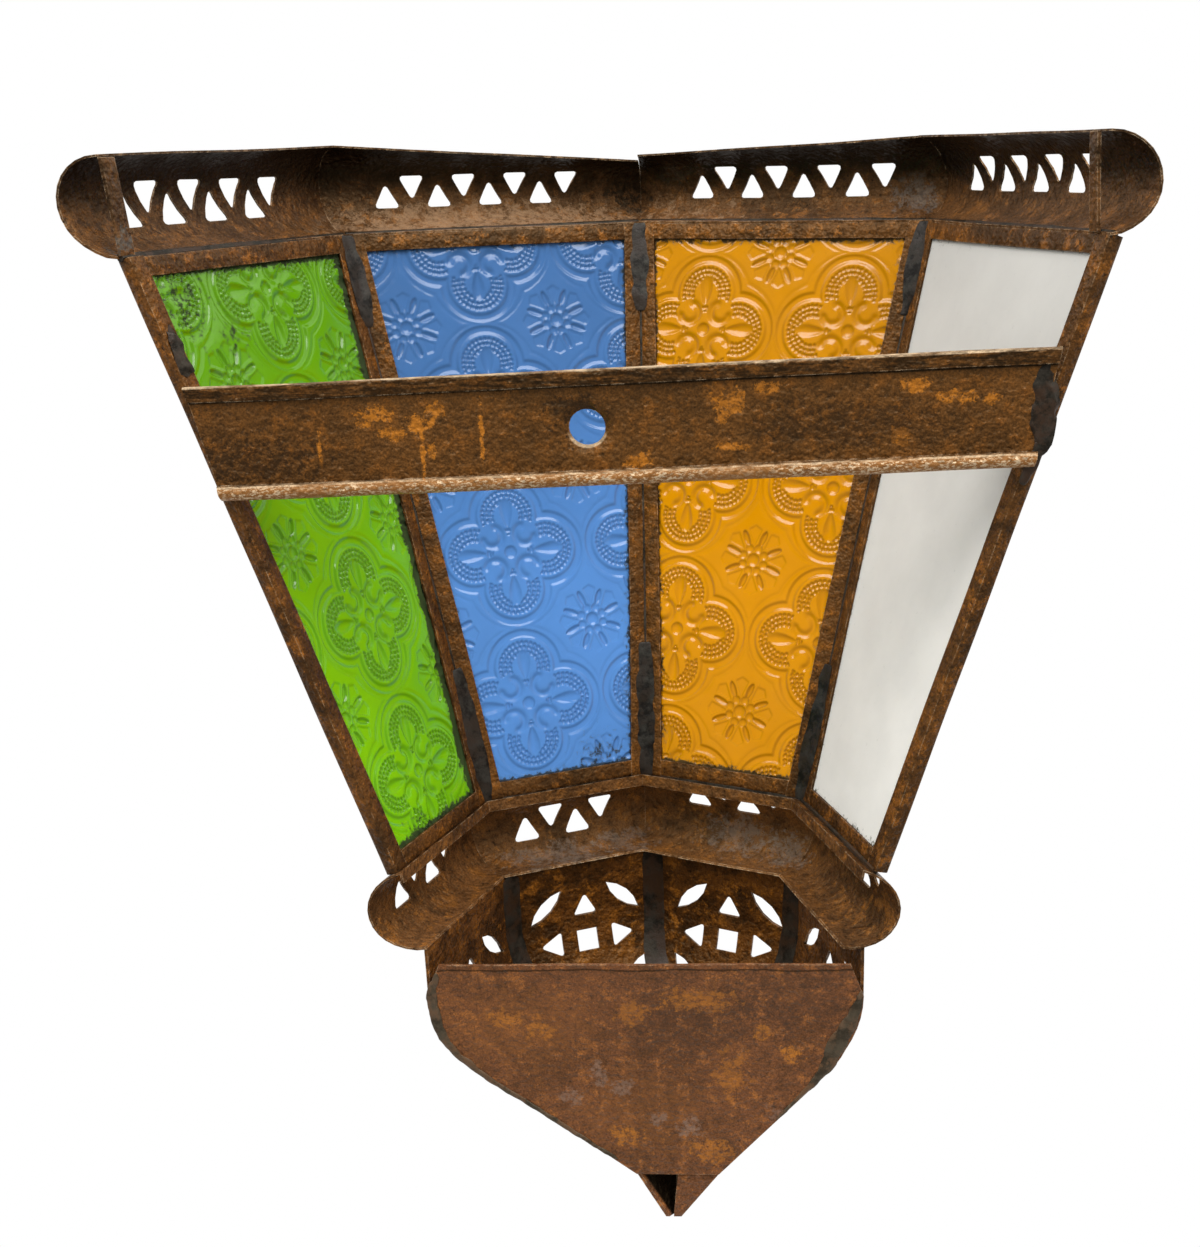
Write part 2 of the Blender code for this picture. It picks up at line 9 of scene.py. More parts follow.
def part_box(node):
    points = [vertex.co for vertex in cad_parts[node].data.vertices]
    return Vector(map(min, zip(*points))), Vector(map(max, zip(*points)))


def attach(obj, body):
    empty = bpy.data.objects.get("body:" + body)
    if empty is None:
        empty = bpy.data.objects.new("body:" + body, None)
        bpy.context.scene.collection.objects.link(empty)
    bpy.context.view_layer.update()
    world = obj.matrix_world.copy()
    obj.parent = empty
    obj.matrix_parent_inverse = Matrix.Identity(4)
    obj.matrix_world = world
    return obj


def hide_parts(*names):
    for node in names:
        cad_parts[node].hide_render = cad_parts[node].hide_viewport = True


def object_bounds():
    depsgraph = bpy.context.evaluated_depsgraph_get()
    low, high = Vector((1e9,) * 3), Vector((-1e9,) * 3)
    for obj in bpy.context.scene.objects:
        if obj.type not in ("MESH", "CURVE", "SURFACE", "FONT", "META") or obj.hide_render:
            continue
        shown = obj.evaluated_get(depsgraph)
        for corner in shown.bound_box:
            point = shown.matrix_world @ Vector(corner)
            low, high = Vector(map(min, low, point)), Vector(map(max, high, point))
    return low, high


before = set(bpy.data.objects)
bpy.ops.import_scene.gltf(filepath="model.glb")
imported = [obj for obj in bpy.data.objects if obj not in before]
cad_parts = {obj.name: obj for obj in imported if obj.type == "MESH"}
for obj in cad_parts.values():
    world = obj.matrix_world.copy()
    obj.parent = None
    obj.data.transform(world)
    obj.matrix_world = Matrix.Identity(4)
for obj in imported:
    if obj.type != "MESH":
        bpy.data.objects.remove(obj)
cad_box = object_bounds()
MM = 0.001
# The noise that dents the sheets starts from one seed, so every run makes the same lantern.
NOISE_SEED = 7
noise.seed_set(NOISE_SEED)


# Channels: sixteen U-shaped strips of thin sheet iron, four round each pane of glass.
# They are folded by hand from tinned sheet that has since rusted brown, butted at the
# corners and soldered to the channels of the next face, so their edges are a little uneven.
DENT_SIZE = 45 * MM
CHANNEL_DENT = 0.3 * MM
CHANNEL_STEP = 6 * MM
EDGE_ROUND = 0.12 * MM
JOINT_CLOSING = 0.22 * MM
SHEET_SMOOTH = radians(35)
FLAT_ANGLE = radians(0.5)
SHARP_ANGLE = radians(50)
MERGE_DISTANCE = 0.005 * MM
IRON_RELIEF = 2 * MM
IRON_GLOSS = 0.4
CREVICE_SHADE_REACH = 4 * MM
WEAR_WIDTH = 0.5 * MM
WORN_SHINE = 0.25
CHANNEL_WEAR = 0.6
CHANNEL_RUST = {
    "Dark": (0.022, 0.009, 0.003, 1),
    "Brown": (0.102, 0.038, 0.0078, 1),
    "Orange": (0.31, 0.105, 0.0125, 1),
    "Bloom": 0.65,
    "Darkness": 0.6,
}
# Bright metal colour for worn edges, also used for painted highlights.
BARE_METAL_AND_HIGHLIGHT = (0.58, 0.43, 0.27, 1)
WARM_GLOSS = (1.0, 0.70, 0.38, 1)
# Near-black for painted shade in crevices, folds, hollows, on down-facing faces and on the glass tops, and
# for darker streaks on the strap's upper hem.
SHADE_AND_DIRT_BLACK = (0.004, 0.002, 0.001, 1)


def copied_sheet(node, swell=0.0):
    """A new piece on a copy of a node's solid, joined to flat faces and grown to close its joints."""
    piece = bpy.data.objects.new("dressed_" + node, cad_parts[node].data.copy())
    bpy.context.collection.objects.link(piece)
    bpy.ops.object.select_all(action="DESELECT")
    piece.select_set(True)
    bpy.context.view_layer.objects.active = piece
    bpy.ops.mesh.customdata_custom_splitnormals_clear()
    bpy.ops.object.mode_set(mode="EDIT")
    bpy.ops.mesh.select_all(action="SELECT")
    bpy.ops.mesh.remove_doubles(threshold=MERGE_DISTANCE)
    bpy.ops.mesh.dissolve_limited(angle_limit=FLAT_ANGLE)
    if swell:
        bpy.ops.transform.shrink_fatten(value=swell, use_even_offset=True)
    bpy.ops.object.mode_set(mode="OBJECT")
    return piece


def round_edges(piece, width):
    """Breaks a sheet's sharp edges."""
    bevel = piece.modifiers.new("broken edges", "BEVEL")
    bevel.width = width
    bevel.segments = 2
    bevel.limit_method = "ANGLE"
    bevel.angle_limit = SHARP_ANGLE
    bpy.ops.object.modifier_apply(modifier=bevel.name)


def cut_across(piece, direction, step):
    """Cuts a sheet across a direction at even steps, so that it has points to dent."""
    reach = [direction.dot(vertex.co) for vertex in piece.data.vertices]
    count = int((max(reach) - min(reach)) / step)
    bpy.ops.object.mode_set(mode="EDIT")
    for index in range(1, count + 1):
        level = min(reach) + index * (max(reach) - min(reach)) / (count + 1)
        bpy.ops.mesh.select_all(action="SELECT")
        bpy.ops.mesh.bisect(plane_co=direction * level, plane_no=direction)
    bpy.ops.object.mode_set(mode="OBJECT")


def longest_direction(piece):
    """Direction of a sheet's longest edge."""
    points = piece.data.vertices
    runs = [points[edge.vertices[1]].co - points[edge.vertices[0]].co for edge in piece.data.edges]
    return max(runs, key=lambda run: run.length).normalized()


def dent(piece, depth, size=DENT_SIZE):
    """Moves a sheet's points by one smooth noise of their place, so that neighbours stay seated."""
    for vertex in piece.data.vertices:
        vertex.co += noise.noise_vector(vertex.co / size) * depth


def finish_piece(piece, material, angle=SHEET_SMOOTH):
    """Smooth shading, the material, and the piece's place in the frame."""
    bpy.ops.object.shade_smooth_by_angle(angle=angle)
    piece.data.materials.clear()
    piece.data.materials.append(material)
    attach(piece, "root")


def new_material(name):
    """Empty material, with its node tree and its shader."""
    material = bpy.data.materials.new(name)
    material.use_nodes = True
    return material, material.node_tree, material.node_tree.nodes["Principled BSDF"]


def put(tree, kind, inputs=None, **settings):
    """A shader node with its settings and inputs: a socket is linked, anything else is a value."""
    item = tree.nodes.new("ShaderNode" + kind)
    for name, value in settings.items():
        setattr(item, name, value)
    for name, value in (inputs or {}).items():
        if isinstance(value, bpy.types.NodeSocket):
            tree.links.new(value, item.inputs[name])
        else:
            item.inputs[name].default_value = value
    return item


def blend(tree, share, first, second, mode="MIX"):
    """Colour between two colours."""
    item = put(tree, "Mix", {0: share, 6: first, 7: second}, data_type="RGBA", blend_type=mode)
    return item.outputs[2]


def calc(tree, operation, first, second=0.0):
    """Value worked out from two values and kept between 0 and 1."""
    return put(tree, "Math", {0: first, 1: second}, operation=operation, use_clamp=True).outputs[0]


def free_calc(tree, operation, first, second=0.0):
    """Value worked out from two values."""
    return put(tree, "Math", {0: first, 1: second}, operation=operation).outputs[0]


def spread(tree, value, low, high, start=0.0, end=1.0):
    """Soft step of a value."""
    values = {"Value": value, "From Min": low, "From Max": high, "To Min": start, "To Max": end}
    return put(tree, "MapRange", values, interpolation_type="SMOOTHSTEP").outputs["Result"]


def object_place(tree):
    """Place of a point in the frame."""
    return put(tree, "TexCoord").outputs["Object"]


def place_along(tree, axis):
    """Place of a point along one axis of the frame."""
    return put(tree, "SeparateXYZ", {0: object_place(tree)}).outputs[axis]


def facing_along(tree, axis):
    """How far a face looks along one axis of the frame."""
    return put(tree, "SeparateXYZ", {0: put(tree, "NewGeometry").outputs["Normal"]}).outputs[axis]


def cloud(tree, scale, detail=4.0, roughness=0.6):
    """Noise with a given number of features in a metre."""
    values = {"Vector": object_place(tree), "Scale": scale, "Detail": detail, "Roughness": roughness}
    return put(tree, "TexNoise", values).outputs["Fac"]


def new_group(name, inputs, outputs):
    """Empty shader group with named sockets, and its input and output nodes."""
    tree = bpy.data.node_groups.new(name, "ShaderNodeTree")
    for socket, kind in inputs:
        tree.interface.new_socket(name=socket, in_out="INPUT", socket_type="NodeSocket" + kind)
    for socket, kind in outputs:
        tree.interface.new_socket(name=socket, in_out="OUTPUT", socket_type="NodeSocket" + kind)
    return tree, tree.nodes.new("NodeGroupInput").outputs, tree.nodes.new("NodeGroupOutput").inputs


def use_group(tree, group, inputs):
    """A shader group placed in a material with its own values."""
    item = put(tree, "Group", node_tree=group)
    for name, value in inputs.items():
        item.inputs[name].default_value = value
    return item.outputs


def make_patina():
    """Rust of old tinned sheet: brown clouds, ragged orange bloom and flecks, a leathery surface."""
    sockets = [("Dark", "Color"), ("Brown", "Color"), ("Orange", "Color")]
    sockets += [("Bloom", "Float"), ("Darkness", "Float")]
    results = [("Color", "Color"), ("Roughness", "Float"), ("Height", "Float")]
    tree, given, result = new_group("patina", sockets, results)
    drift = cloud(tree, 26, 5, 0.6)
    patch = cloud(tree, 130, 9, 0.74)
    leather = cloud(tree, 520, 5, 0.68)
    grain = cloud(tree, 1600, 3, 0.65)
    bloom = cloud(tree, 60, 12, 0.82)
    fleck = cloud(tree, 260, 10, 0.82)
    shadow = calc(tree, "MULTIPLY", spread(tree, drift, 0.56, 0.40), given["Darkness"])
    colour = blend(tree, shadow, given["Brown"], given["Dark"])
    blotch = calc(tree, "MULTIPLY", spread(tree, patch, 0.48, 0.39), given["Darkness"])
    colour = blend(tree, blotch, colour, given["Dark"])
    ruddy = blend(tree, 0.45, given["Brown"], given["Orange"])
    colour = blend(tree, spread(tree, patch, 0.51, 0.62, 0.0, 0.85), colour, ruddy)
    flush = calc(tree, "MULTIPLY", spread(tree, bloom, 0.585, 0.615), given["Bloom"])
    flecked = calc(tree, "MULTIPLY", spread(tree, fleck, 0.59, 0.62), given["Bloom"])
    colour = blend(tree, calc(tree, "MAXIMUM", flush, flecked), colour, given["Orange"])
    pits = spread(tree, leather, 0.40, 0.33, 0.0, 0.8)
    colour = blend(tree, pits, colour, given["Dark"])
    shade = spread(tree, grain, 0.32, 0.68, 0.66, 1.32)
    tree.links.new(blend(tree, 1.0, colour, shade, "MULTIPLY"), result["Color"])
    tree.links.new(spread(tree, patch, 0.3, 0.7, 0.58, 0.34), result["Roughness"])
    lumps = cloud(tree, 190, 1.5, 0.5)
    pebbles = cloud(tree, 520, 1.5, 0.5)
    tree.links.new(blend(tree, 0.55, lumps, pebbles), result["Height"])
    return tree


def make_edge_wear():
    """Mask of edges where handling keeps the metal bright, broken up by noise."""
    sockets = [("Width", "Float"), ("Amount", "Float")]
    tree, given, result = new_group("edge_wear", sockets, [("Mask", "Float")])
    rounded = put(tree, "Bevel", {"Radius": given["Width"]}, samples=4).outputs["Normal"]
    plain = put(tree, "NewGeometry").outputs["Normal"]
    turn = put(tree, "VectorMath", {0: rounded, 1: plain}, operation="DOT_PRODUCT").outputs["Value"]
    edge = spread(tree, turn, 0.995, 0.86)
    broken = calc(tree, "MULTIPLY", spread(tree, cloud(tree, 260, 4, 0.7), 0.42, 0.62), given["Amount"])
    tree.links.new(calc(tree, "MULTIPLY", edge, broken), result["Mask"])
    return tree


def make_stain():
    """Mask of one ragged, flecked spot on the object, given by its centre and half sizes."""
    sockets = [("Centre", "Vector"), ("Reach", "Vector")]
    tree, given, result = new_group("stain", sockets, [("Mask", "Float")])
    place = {0: object_place(tree), 1: given["Centre"]}
    offset = put(tree, "VectorMath", place, operation="SUBTRACT").outputs[0]
    share = put(tree, "VectorMath", {0: offset, 1: given["Reach"]}, operation="DIVIDE").outputs[0]
    far = put(tree, "VectorMath", {0: share}, operation="LENGTH").outputs["Value"]
    uneven = spread(tree, cloud(tree, 190, 10, 0.78), 0.30, 0.70, -0.85, 0.85)
    spot = spread(tree, free_calc(tree, "ADD", far, uneven), 1.0, 0.75)
    flecks = spread(tree, cloud(tree, 330, 10, 0.84), 0.44, 0.51, 0.1, 1.0)
    tree.links.new(calc(tree, "MULTIPLY", spot, flecks), result["Mask"])
    return tree


def make_crevice_shade():
    """Mask of painted shade in places crowded by near faces, from their ambient occlusion."""
    tree, given, result = new_group("crevice", [("Reach", "Float")], [("Mask", "Float")])
    clear = put(tree, "AmbientOcclusion", {"Distance": given["Reach"]}, samples=4).outputs["AO"]
    uneven = spread(tree, cloud(tree, 180, 5, 0.7), 0.3, 0.7, -0.15, 0.15)
    crowded = spread(tree, free_calc(tree, "ADD", clear, uneven), 0.66, 0.28, 0.0, 0.85)
    tree.links.new(crowded, result["Mask"])
    return tree


PATINA = make_patina()
EDGE_WEAR = make_edge_wear()
STAIN = make_stain()
CREVICE_SHADE = make_crevice_shade()


def rusted_iron(name, rust, wear, stains=(), shades=(), highlight=None, relief=IRON_RELIEF):
    """Rusted sheet: patina, local stains, painted shade in crevices, shades and painted highlights where
    given, and bright worn edges.
    """
    material, tree, shader = new_material(name)
    patina = use_group(tree, PATINA, rust)
    colour = patina["Color"]
    for tint, strength, centre, reach in stains:
        values = {"Centre": Vector(centre) * MM, "Reach": Vector(reach) * MM}
        mask = use_group(tree, STAIN, values)["Mask"]
        colour = blend(tree, calc(tree, "MULTIPLY", mask, strength), colour, tint)
    # Crevices are painted darker from their ambient occlusion: painted shade.
    colour = blend(tree, use_group(tree, CREVICE_SHADE, {"Reach": CREVICE_SHADE_REACH})["Mask"], colour, SHADE_AND_DIRT_BLACK)
    for mask, tint in shades:
        colour = blend(tree, mask(tree), colour, tint)
    wear_and_highlight = use_group(tree, EDGE_WEAR, {"Width": WEAR_WIDTH, "Amount": wear})["Mask"]
    if highlight:
        wear_and_highlight = calc(tree, "MAXIMUM", wear_and_highlight, highlight(tree))
    tree.links.new(blend(tree, wear_and_highlight, colour, BARE_METAL_AND_HIGHLIGHT), shader.inputs["Base Color"])
    tree.links.new(patina["Roughness"], shader.inputs["Roughness"])
    tree.links.new(calc(tree, "MULTIPLY", wear_and_highlight, WORN_SHINE), shader.inputs["Metallic"])
    shader.inputs["Specular IOR Level"].default_value = IRON_GLOSS
    shader.inputs["Specular Tint"].default_value = WARM_GLOSS
    bump = put(tree, "Bump", {"Height": patina["Height"], "Strength": 1.0, "Distance": relief})
    tree.links.new(bump.outputs["Normal"], shader.inputs["Normal"])
    return material


CHANNEL_IRON = rusted_iron("channel_iron", CHANNEL_RUST, CHANNEL_WEAR)
for colour in ("green", "blue", "amber", "white"):
    for side in ("left", "right", "top", "bottom"):
        node = "channel_" + colour + "_" + side
        channel = copied_sheet(node, JOINT_CLOSING)
        round_edges(channel, EDGE_ROUND)
        cut_across(channel, longest_direction(channel), CHANNEL_STEP)
        dent(channel, CHANNEL_DENT)
        finish_piece(channel, CHANNEL_IRON)
        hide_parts(node)


# Panes: four sheets of 3 mm glass gripped by the channels, green, blue and amber ones with a pressed
# pattern of four-lobed medallions and daisies, and a smooth frosted white one.
# The pattern is sunk into the inner face, as a roller leaves it, and dirt has settled along the edges.
PATTERN_REPEAT = 62 * MM
PATTERN_DEPTH = {"green": 0.95 * MM, "blue": 0.7 * MM, "amber": 0.8 * MM}
PATTERN_PLACE = {
    "green": (3.5 * MM, -13.3 * MM),
    "blue": (-10.5 * MM, -4.5 * MM),
    "amber": (-28.2 * MM, -41.3 * MM),
}
PATTERN_TURN = {"green": radians(-1.4), "blue": radians(-0.4), "amber": radians(0.5)}
PANE_CUTS = (72, 2)
PANE_OUTER_CUTS = 40
PANE_SMOOTH = radians(80)
FACE_LEVEL = 0.01 * MM
MIDDLE_PLACE = (cad_box[0][0] + cad_box[1][0]) / 2
GLASS_GRIP = 4.2 * MM
GLASS_IOR = 1.5
GLASS_RELIEF = 0.3 * MM
DEEP_SHARE = 0.8
DARK_SHARE = 0.25
GRIME_WIDTH = 1.6 * MM
SPOT_STRENGTH = 0.55
GRIME = (0.016, 0.018, 0.005, 1)
GLASS = {
    "green": {"tint": (0.225, 0.635, 0.005, 1), "wall": 0.6, "roughness": 0.07, "clear": 0.22, "top_shade": 0.36},
    "blue": {"tint": (0.118, 0.33, 0.79, 1), "wall": 0.35, "roughness": 0.07, "clear": 0.22, "top_shade": 0.48},
    "amber": {"tint": (0.87, 0.35, 0.001, 1), "wall": 0.5, "roughness": 0.07, "clear": 0.22, "top_shade": 0.24},
    "white": {"tint": (0.95, 0.92, 0.855, 1), "wall": 0.0, "roughness": 0.45, "clear": 0.15, "top_shade": 0.3},
}
SHADE_TOP = 50 * MM
SHADE_FOOT = -140 * MM
# The sizes of the pressed forms are in repeats of the pattern.
LOBE_PLACE = 0.24
OUTLINE_RADIUS = 0.222
OUTLINE_HALF = 0.034
OUTLINE_DEPTH = 0.75
OUTLINE_SOFT = 0.022
HALO_PLACE = 0.19
HALO_RADIUS = 0.315
HALO_WIDTH = 0.012
HALO_DEPTH = 0.22
PETAL_PLACE = 0.255
PETAL_LENGTH = 0.098
PETAL_HALF = 0.058
CURL_PLACE = 0.11
CURL_RADIUS = 0.064
CURL_WIDTH = 0.021
CURL_ROOM = 0.092
BEAD_ROWS = (0.160, 0.129, 0.098)
BEAD_PITCH = 0.030
BEAD_RADIUS = 0.0138
BEAD_DEPTH = 0.85
BEAD_START = 0.115
BOSS_RADIUS = 0.042
DAISY_STEP = pi / 4
SEED_PLACE = 0.078
SEED_RADIUS = 0.028
SEED_DEPTH = 0.75
DAISY_PETAL_PLACE = 0.152
DAISY_PETAL_LENGTH = 0.052
DAISY_PETAL_HALF = 0.021
LEAF_DEPTH = 0.32
SLOPE_STEP = 0.004
SLOPE_GAIN = 1.6
EDGE_GRIME = {
    "green": {"left": 0.5, "right": 5.0, "top": 1.5, "bottom": 2.5},
    "blue": {"left": 0.35, "right": 0.8, "top": 0.5, "bottom": 1.5},
    "amber": {"left": 0.8, "right": 0.6, "top": 1.2, "bottom": 1.5},
    "white": {"left": 0.3, "right": 0.3, "top": 0.3, "bottom": 0.5},
}
GRIME_SPOTS = {
    "green": [((134.6, -17.6, 40.8), 15), ((121, -33, 30), 10), ((71.4, -22.6, -154.9), 10)],
    "blue": [((8.5, -86.0, -154.0), 13)],
}


def dome(distance, radius):
    """Height of a round dome."""
    return np.sqrt(np.clip(1 - (distance / radius) ** 2, 0, 1))


def ridge(distance, width):
    """Height of a soft ridge."""
    return np.exp(-(distance / width) ** 2)


def soft_step(value, low, high):
    """Smooth rise from 0 to 1."""
    share = np.clip((value - low) / (high - low), 0, 1)
    return share * share * (3 - 2 * share)


def medallion(x, y):
    """Depth of a four-lobed medallion whose lobes lie on the axes, with x and y in repeats."""
    far, near = np.maximum(abs(x), abs(y)), np.minimum(abs(x), abs(y))
    lobe = np.hypot(far - LOBE_PLACE, near)
    band = soft_step(OUTLINE_HALF - abs(lobe - OUTLINE_RADIUS), 0, OUTLINE_SOFT)
    depth = OUTLINE_DEPTH * band * soft_step(far + near, 0.16, 0.22)
    halo = ridge(np.hypot(far - HALO_PLACE, near) - HALO_RADIUS, HALO_WIDTH)
    depth = np.maximum(depth, HALO_DEPTH * halo)
    along = (far - PETAL_PLACE) / PETAL_LENGTH
    half = PETAL_HALF * np.sqrt(np.clip(1 - along ** 2, 1e-6, 1)) * (0.70 + 0.30 * along)
    petal = np.clip(1 - (near / half) ** 2, 0, 1) * np.clip(1 - along ** 2, 0, 1) ** 0.5
    depth = np.maximum(depth, petal)
    curl = np.hypot(far - CURL_PLACE, near - CURL_PLACE)
    outward = (far + near - 2 * CURL_PLACE) / (curl * np.sqrt(2) + 1e-6)
    scroll = ridge(curl - CURL_RADIUS, CURL_WIDTH) * soft_step(outward, 0.9, 0.4)
    depth = np.maximum(depth, scroll)
    depth = np.maximum(depth, dome(np.hypot(x, y), BOSS_RADIUS))
    turn = np.arctan2(near, far - LOBE_PLACE)
    room = (curl > CURL_ROOM) & (far > BEAD_START) & (petal == 0)
    for row, radius in enumerate(BEAD_ROWS):
        arc = turn * radius / BEAD_PITCH + 0.5 * (row % 2)
        bead = dome(np.hypot(lobe - radius, (arc - np.round(arc)) * BEAD_PITCH), BEAD_RADIUS)
        depth = np.maximum(depth, BEAD_DEPTH * bead * room)
    return depth


def daisy(x, y):
    """Depth of an eight-petalled daisy round its own middle, with x and y in repeats."""
    radius, angle = np.hypot(x, y), np.arctan2(y, x)
    off = angle / DAISY_STEP - 0.5
    off = (off - np.round(off)) * DAISY_STEP
    along, aside = radius * np.cos(off), radius * np.sin(off)
    depth = dome(radius, BOSS_RADIUS)
    depth = np.maximum(depth, SEED_DEPTH * dome(np.hypot(along - SEED_PLACE, aside), SEED_RADIUS))
    beyond = along - DAISY_PETAL_PLACE
    half = DAISY_PETAL_HALF * np.sqrt(np.clip(1 - (beyond / DAISY_PETAL_LENGTH) ** 2, 1e-6, 1))
    petal = np.clip(1 - (aside / half) ** 2, 0, 1) * (abs(beyond) < DAISY_PETAL_LENGTH)
    depth = np.maximum(depth, petal)
    off = angle / DAISY_STEP
    off = (off - np.round(off)) * DAISY_STEP
    along, aside = radius * np.cos(off), abs(radius * np.sin(off))
    half = np.clip((along - 0.085) * 0.42, 0.002, 1)
    tip = soft_step(along + aside * 0.6, 0.235, 0.22)
    leaf = soft_step(half - aside, 0, 0.008) * tip * (along > 0.09)
    return np.maximum(depth, LEAF_DEPTH * leaf)


def pressed_depth(across, upward):
    """Depth of the whole pattern at places given in repeats."""
    x, y = across - np.round(across), upward - np.round(upward)
    between_x = across - np.floor(across) - 0.5
    between_y = upward - np.floor(upward) - 0.5
    return np.maximum(medallion(x, y), daisy(between_x, between_y))


def pressed_glass(name, tint, wall, roughness, clear, top_shade):
    """Tinted milky glass, darkened towards its top and on the pattern's walls by painted shade, with dirty
    edges.
    """
    material, tree, shader = new_material(name)
    deep = [value * DEEP_SHARE for value in tint[:3]] + [1]
    dark = [value * DARK_SHARE for value in tint[:3]] + [1]
    colour = blend(tree, spread(tree, cloud(tree, 35, 4, 0.6), 0.3, 0.7, 0.0, 0.4), tint, deep)
    # The glass is painted darker towards its top: painted shade.
    top_darkening = spread(tree, place_along(tree, "Z"), SHADE_FOOT, SHADE_TOP, 0.0, top_shade)
    colour = blend(tree, top_darkening, colour, SHADE_AND_DIRT_BLACK)
    # The pattern's steep walls are painted darker: painted shade.
    steep = put(tree, "Attribute", attribute_name="steepness").outputs["Fac"]
    colour = blend(tree, calc(tree, "MULTIPLY", steep, wall), colour, dark)
    dirt = put(tree, "Attribute", attribute_name="dirt").outputs["Fac"]
    uneven = spread(tree, cloud(tree, 420, 6, 0.75), 0.3, 0.7, -0.5, 0.5)
    mask = spread(tree, free_calc(tree, "ADD", dirt, uneven), 0.40, 0.85, 0.0, 0.92)
    colour = blend(tree, mask, colour, GRIME)
    specks = spread(tree, cloud(tree, 700, 3, 0.7), 0.71, 0.78, 0.0, 0.3)
    tree.links.new(blend(tree, specks, colour, GRIME), shader.inputs["Base Color"])
    shader.inputs["Transmission Weight"].default_value = clear
    shader.inputs["IOR"].default_value = GLASS_IOR
    polish = spread(tree, cloud(tree, 90, 5, 0.6), 0.3, 0.7, roughness, roughness + 0.1)
    tree.links.new(calc(tree, "MAXIMUM", polish, mask), shader.inputs["Roughness"])
    waves = {"Height": cloud(tree, 170, 2, 0.5), "Strength": 0.3, "Distance": GLASS_RELIEF}
    tree.links.new(put(tree, "Bump", waves).outputs["Normal"], shader.inputs["Normal"])
    return material


def inner_face(pane):
    """The large face of a pane that looks into the lantern."""
    axis = Vector((MIDDLE_PLACE, 0, 0))
    largest = sorted(pane.data.polygons, key=lambda face: face.area)[-2:]
    return min(largest, key=lambda face: (face.center - axis).xy.length)


def select_level(pane, place, outward):
    """Selects the faces of a pane that lie level with a place."""
    bpy.ops.object.mode_set(mode="EDIT")
    bpy.ops.mesh.select_mode(type="FACE")
    bpy.ops.mesh.select_all(action="DESELECT")
    bpy.ops.object.mode_set(mode="OBJECT")
    for face in pane.data.polygons:
        face.select = abs((face.center - place).dot(outward)) < FACE_LEVEL
    bpy.ops.object.mode_set(mode="EDIT")


for colour, look in GLASS.items():
    pane = copied_sheet("glass_" + colour)
    face = inner_face(pane)
    corners = [pane.data.vertices[index].co.copy() for index in face.vertices]
    corners.sort(key=lambda corner: corner.z)
    outward = -face.normal.normalized()
    middle = (corners[2] + corners[3]) / 2
    upward = (middle - (corners[0] + corners[1]) / 2).normalized()
    across = outward.cross(upward).normalized()
    thickness = max((vertex.co - middle).dot(outward) for vertex in pane.data.vertices)
    select_level(pane, middle + outward * thickness, outward)
    bpy.ops.mesh.subdivide(number_cuts=PANE_OUTER_CUTS)
    select_level(pane, middle, outward)
    bpy.ops.mesh.bisect(plane_co=(corners[0] + corners[3]) / 2, plane_no=upward)
    select_level(pane, middle, outward)
    for cuts in PANE_CUTS:
        bpy.ops.mesh.subdivide(number_cuts=cuts)
    bpy.ops.object.mode_set(mode="OBJECT")
    points = np.empty(len(pane.data.vertices) * 3)
    pane.data.vertices.foreach_get("co", points)
    points = points.reshape(-1, 3)
    offset = points - np.array(middle)
    right = offset @ np.array(across)
    height = offset @ np.array(upward)
    tall = (middle - corners[0]).dot(upward)
    top_half = (corners[3] - corners[2]).length / 2
    low_half = (corners[1] - corners[0]).length / 2
    half = top_half + (low_half - top_half) * -height / tall
    edges = {"left": right + half, "right": half - right, "top": -height, "bottom": height + tall}
    dirt = np.zeros(len(points))
    for side, amount in EDGE_GRIME[colour].items():
        bare = np.clip(edges[side] - GLASS_GRIP, 0, 1)
        dirt = np.maximum(dirt, amount * np.exp(-bare / GRIME_WIDTH))
    for spot, reach in GRIME_SPOTS.get(colour, []):
        far = np.linalg.norm(points - np.array(spot) * MM, axis=1) / (reach * MM)
        dirt = np.maximum(dirt, SPOT_STRENGTH * np.exp(-far ** 2))
    pane.data.attributes.new("dirt", "FLOAT", "POINT").data.foreach_set("value", dirt)
    if colour in PATTERN_PLACE:
        turn = PATTERN_TURN[colour]
        right -= PATTERN_PLACE[colour][0]
        height -= PATTERN_PLACE[colour][1]
        x = (right * cos(turn) + height * sin(turn)) / PATTERN_REPEAT
        y = (height * cos(turn) - right * sin(turn)) / PATTERN_REPEAT
        inside = abs(offset @ np.array(outward)) < FACE_LEVEL
        slope_x = pressed_depth(x + SLOPE_STEP, y) - pressed_depth(x - SLOPE_STEP, y)
        slope_y = pressed_depth(x, y + SLOPE_STEP) - pressed_depth(x, y - SLOPE_STEP)
        slope = np.clip(np.hypot(slope_x, slope_y) * SLOPE_GAIN, 0, 1)
        steepness = pane.data.attributes.new("steepness", "FLOAT", "POINT")
        steepness.data.foreach_set("value", slope * inside)
        points += (pressed_depth(x, y) * PATTERN_DEPTH[colour] * inside)[:, None] * np.array(outward)
        pane.data.vertices.foreach_set("co", points.ravel())
        pane.data.update()
    finish_piece(pane, pressed_glass("glass_" + colour, **look), PANE_SMOOTH)
    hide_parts("glass_" + colour)


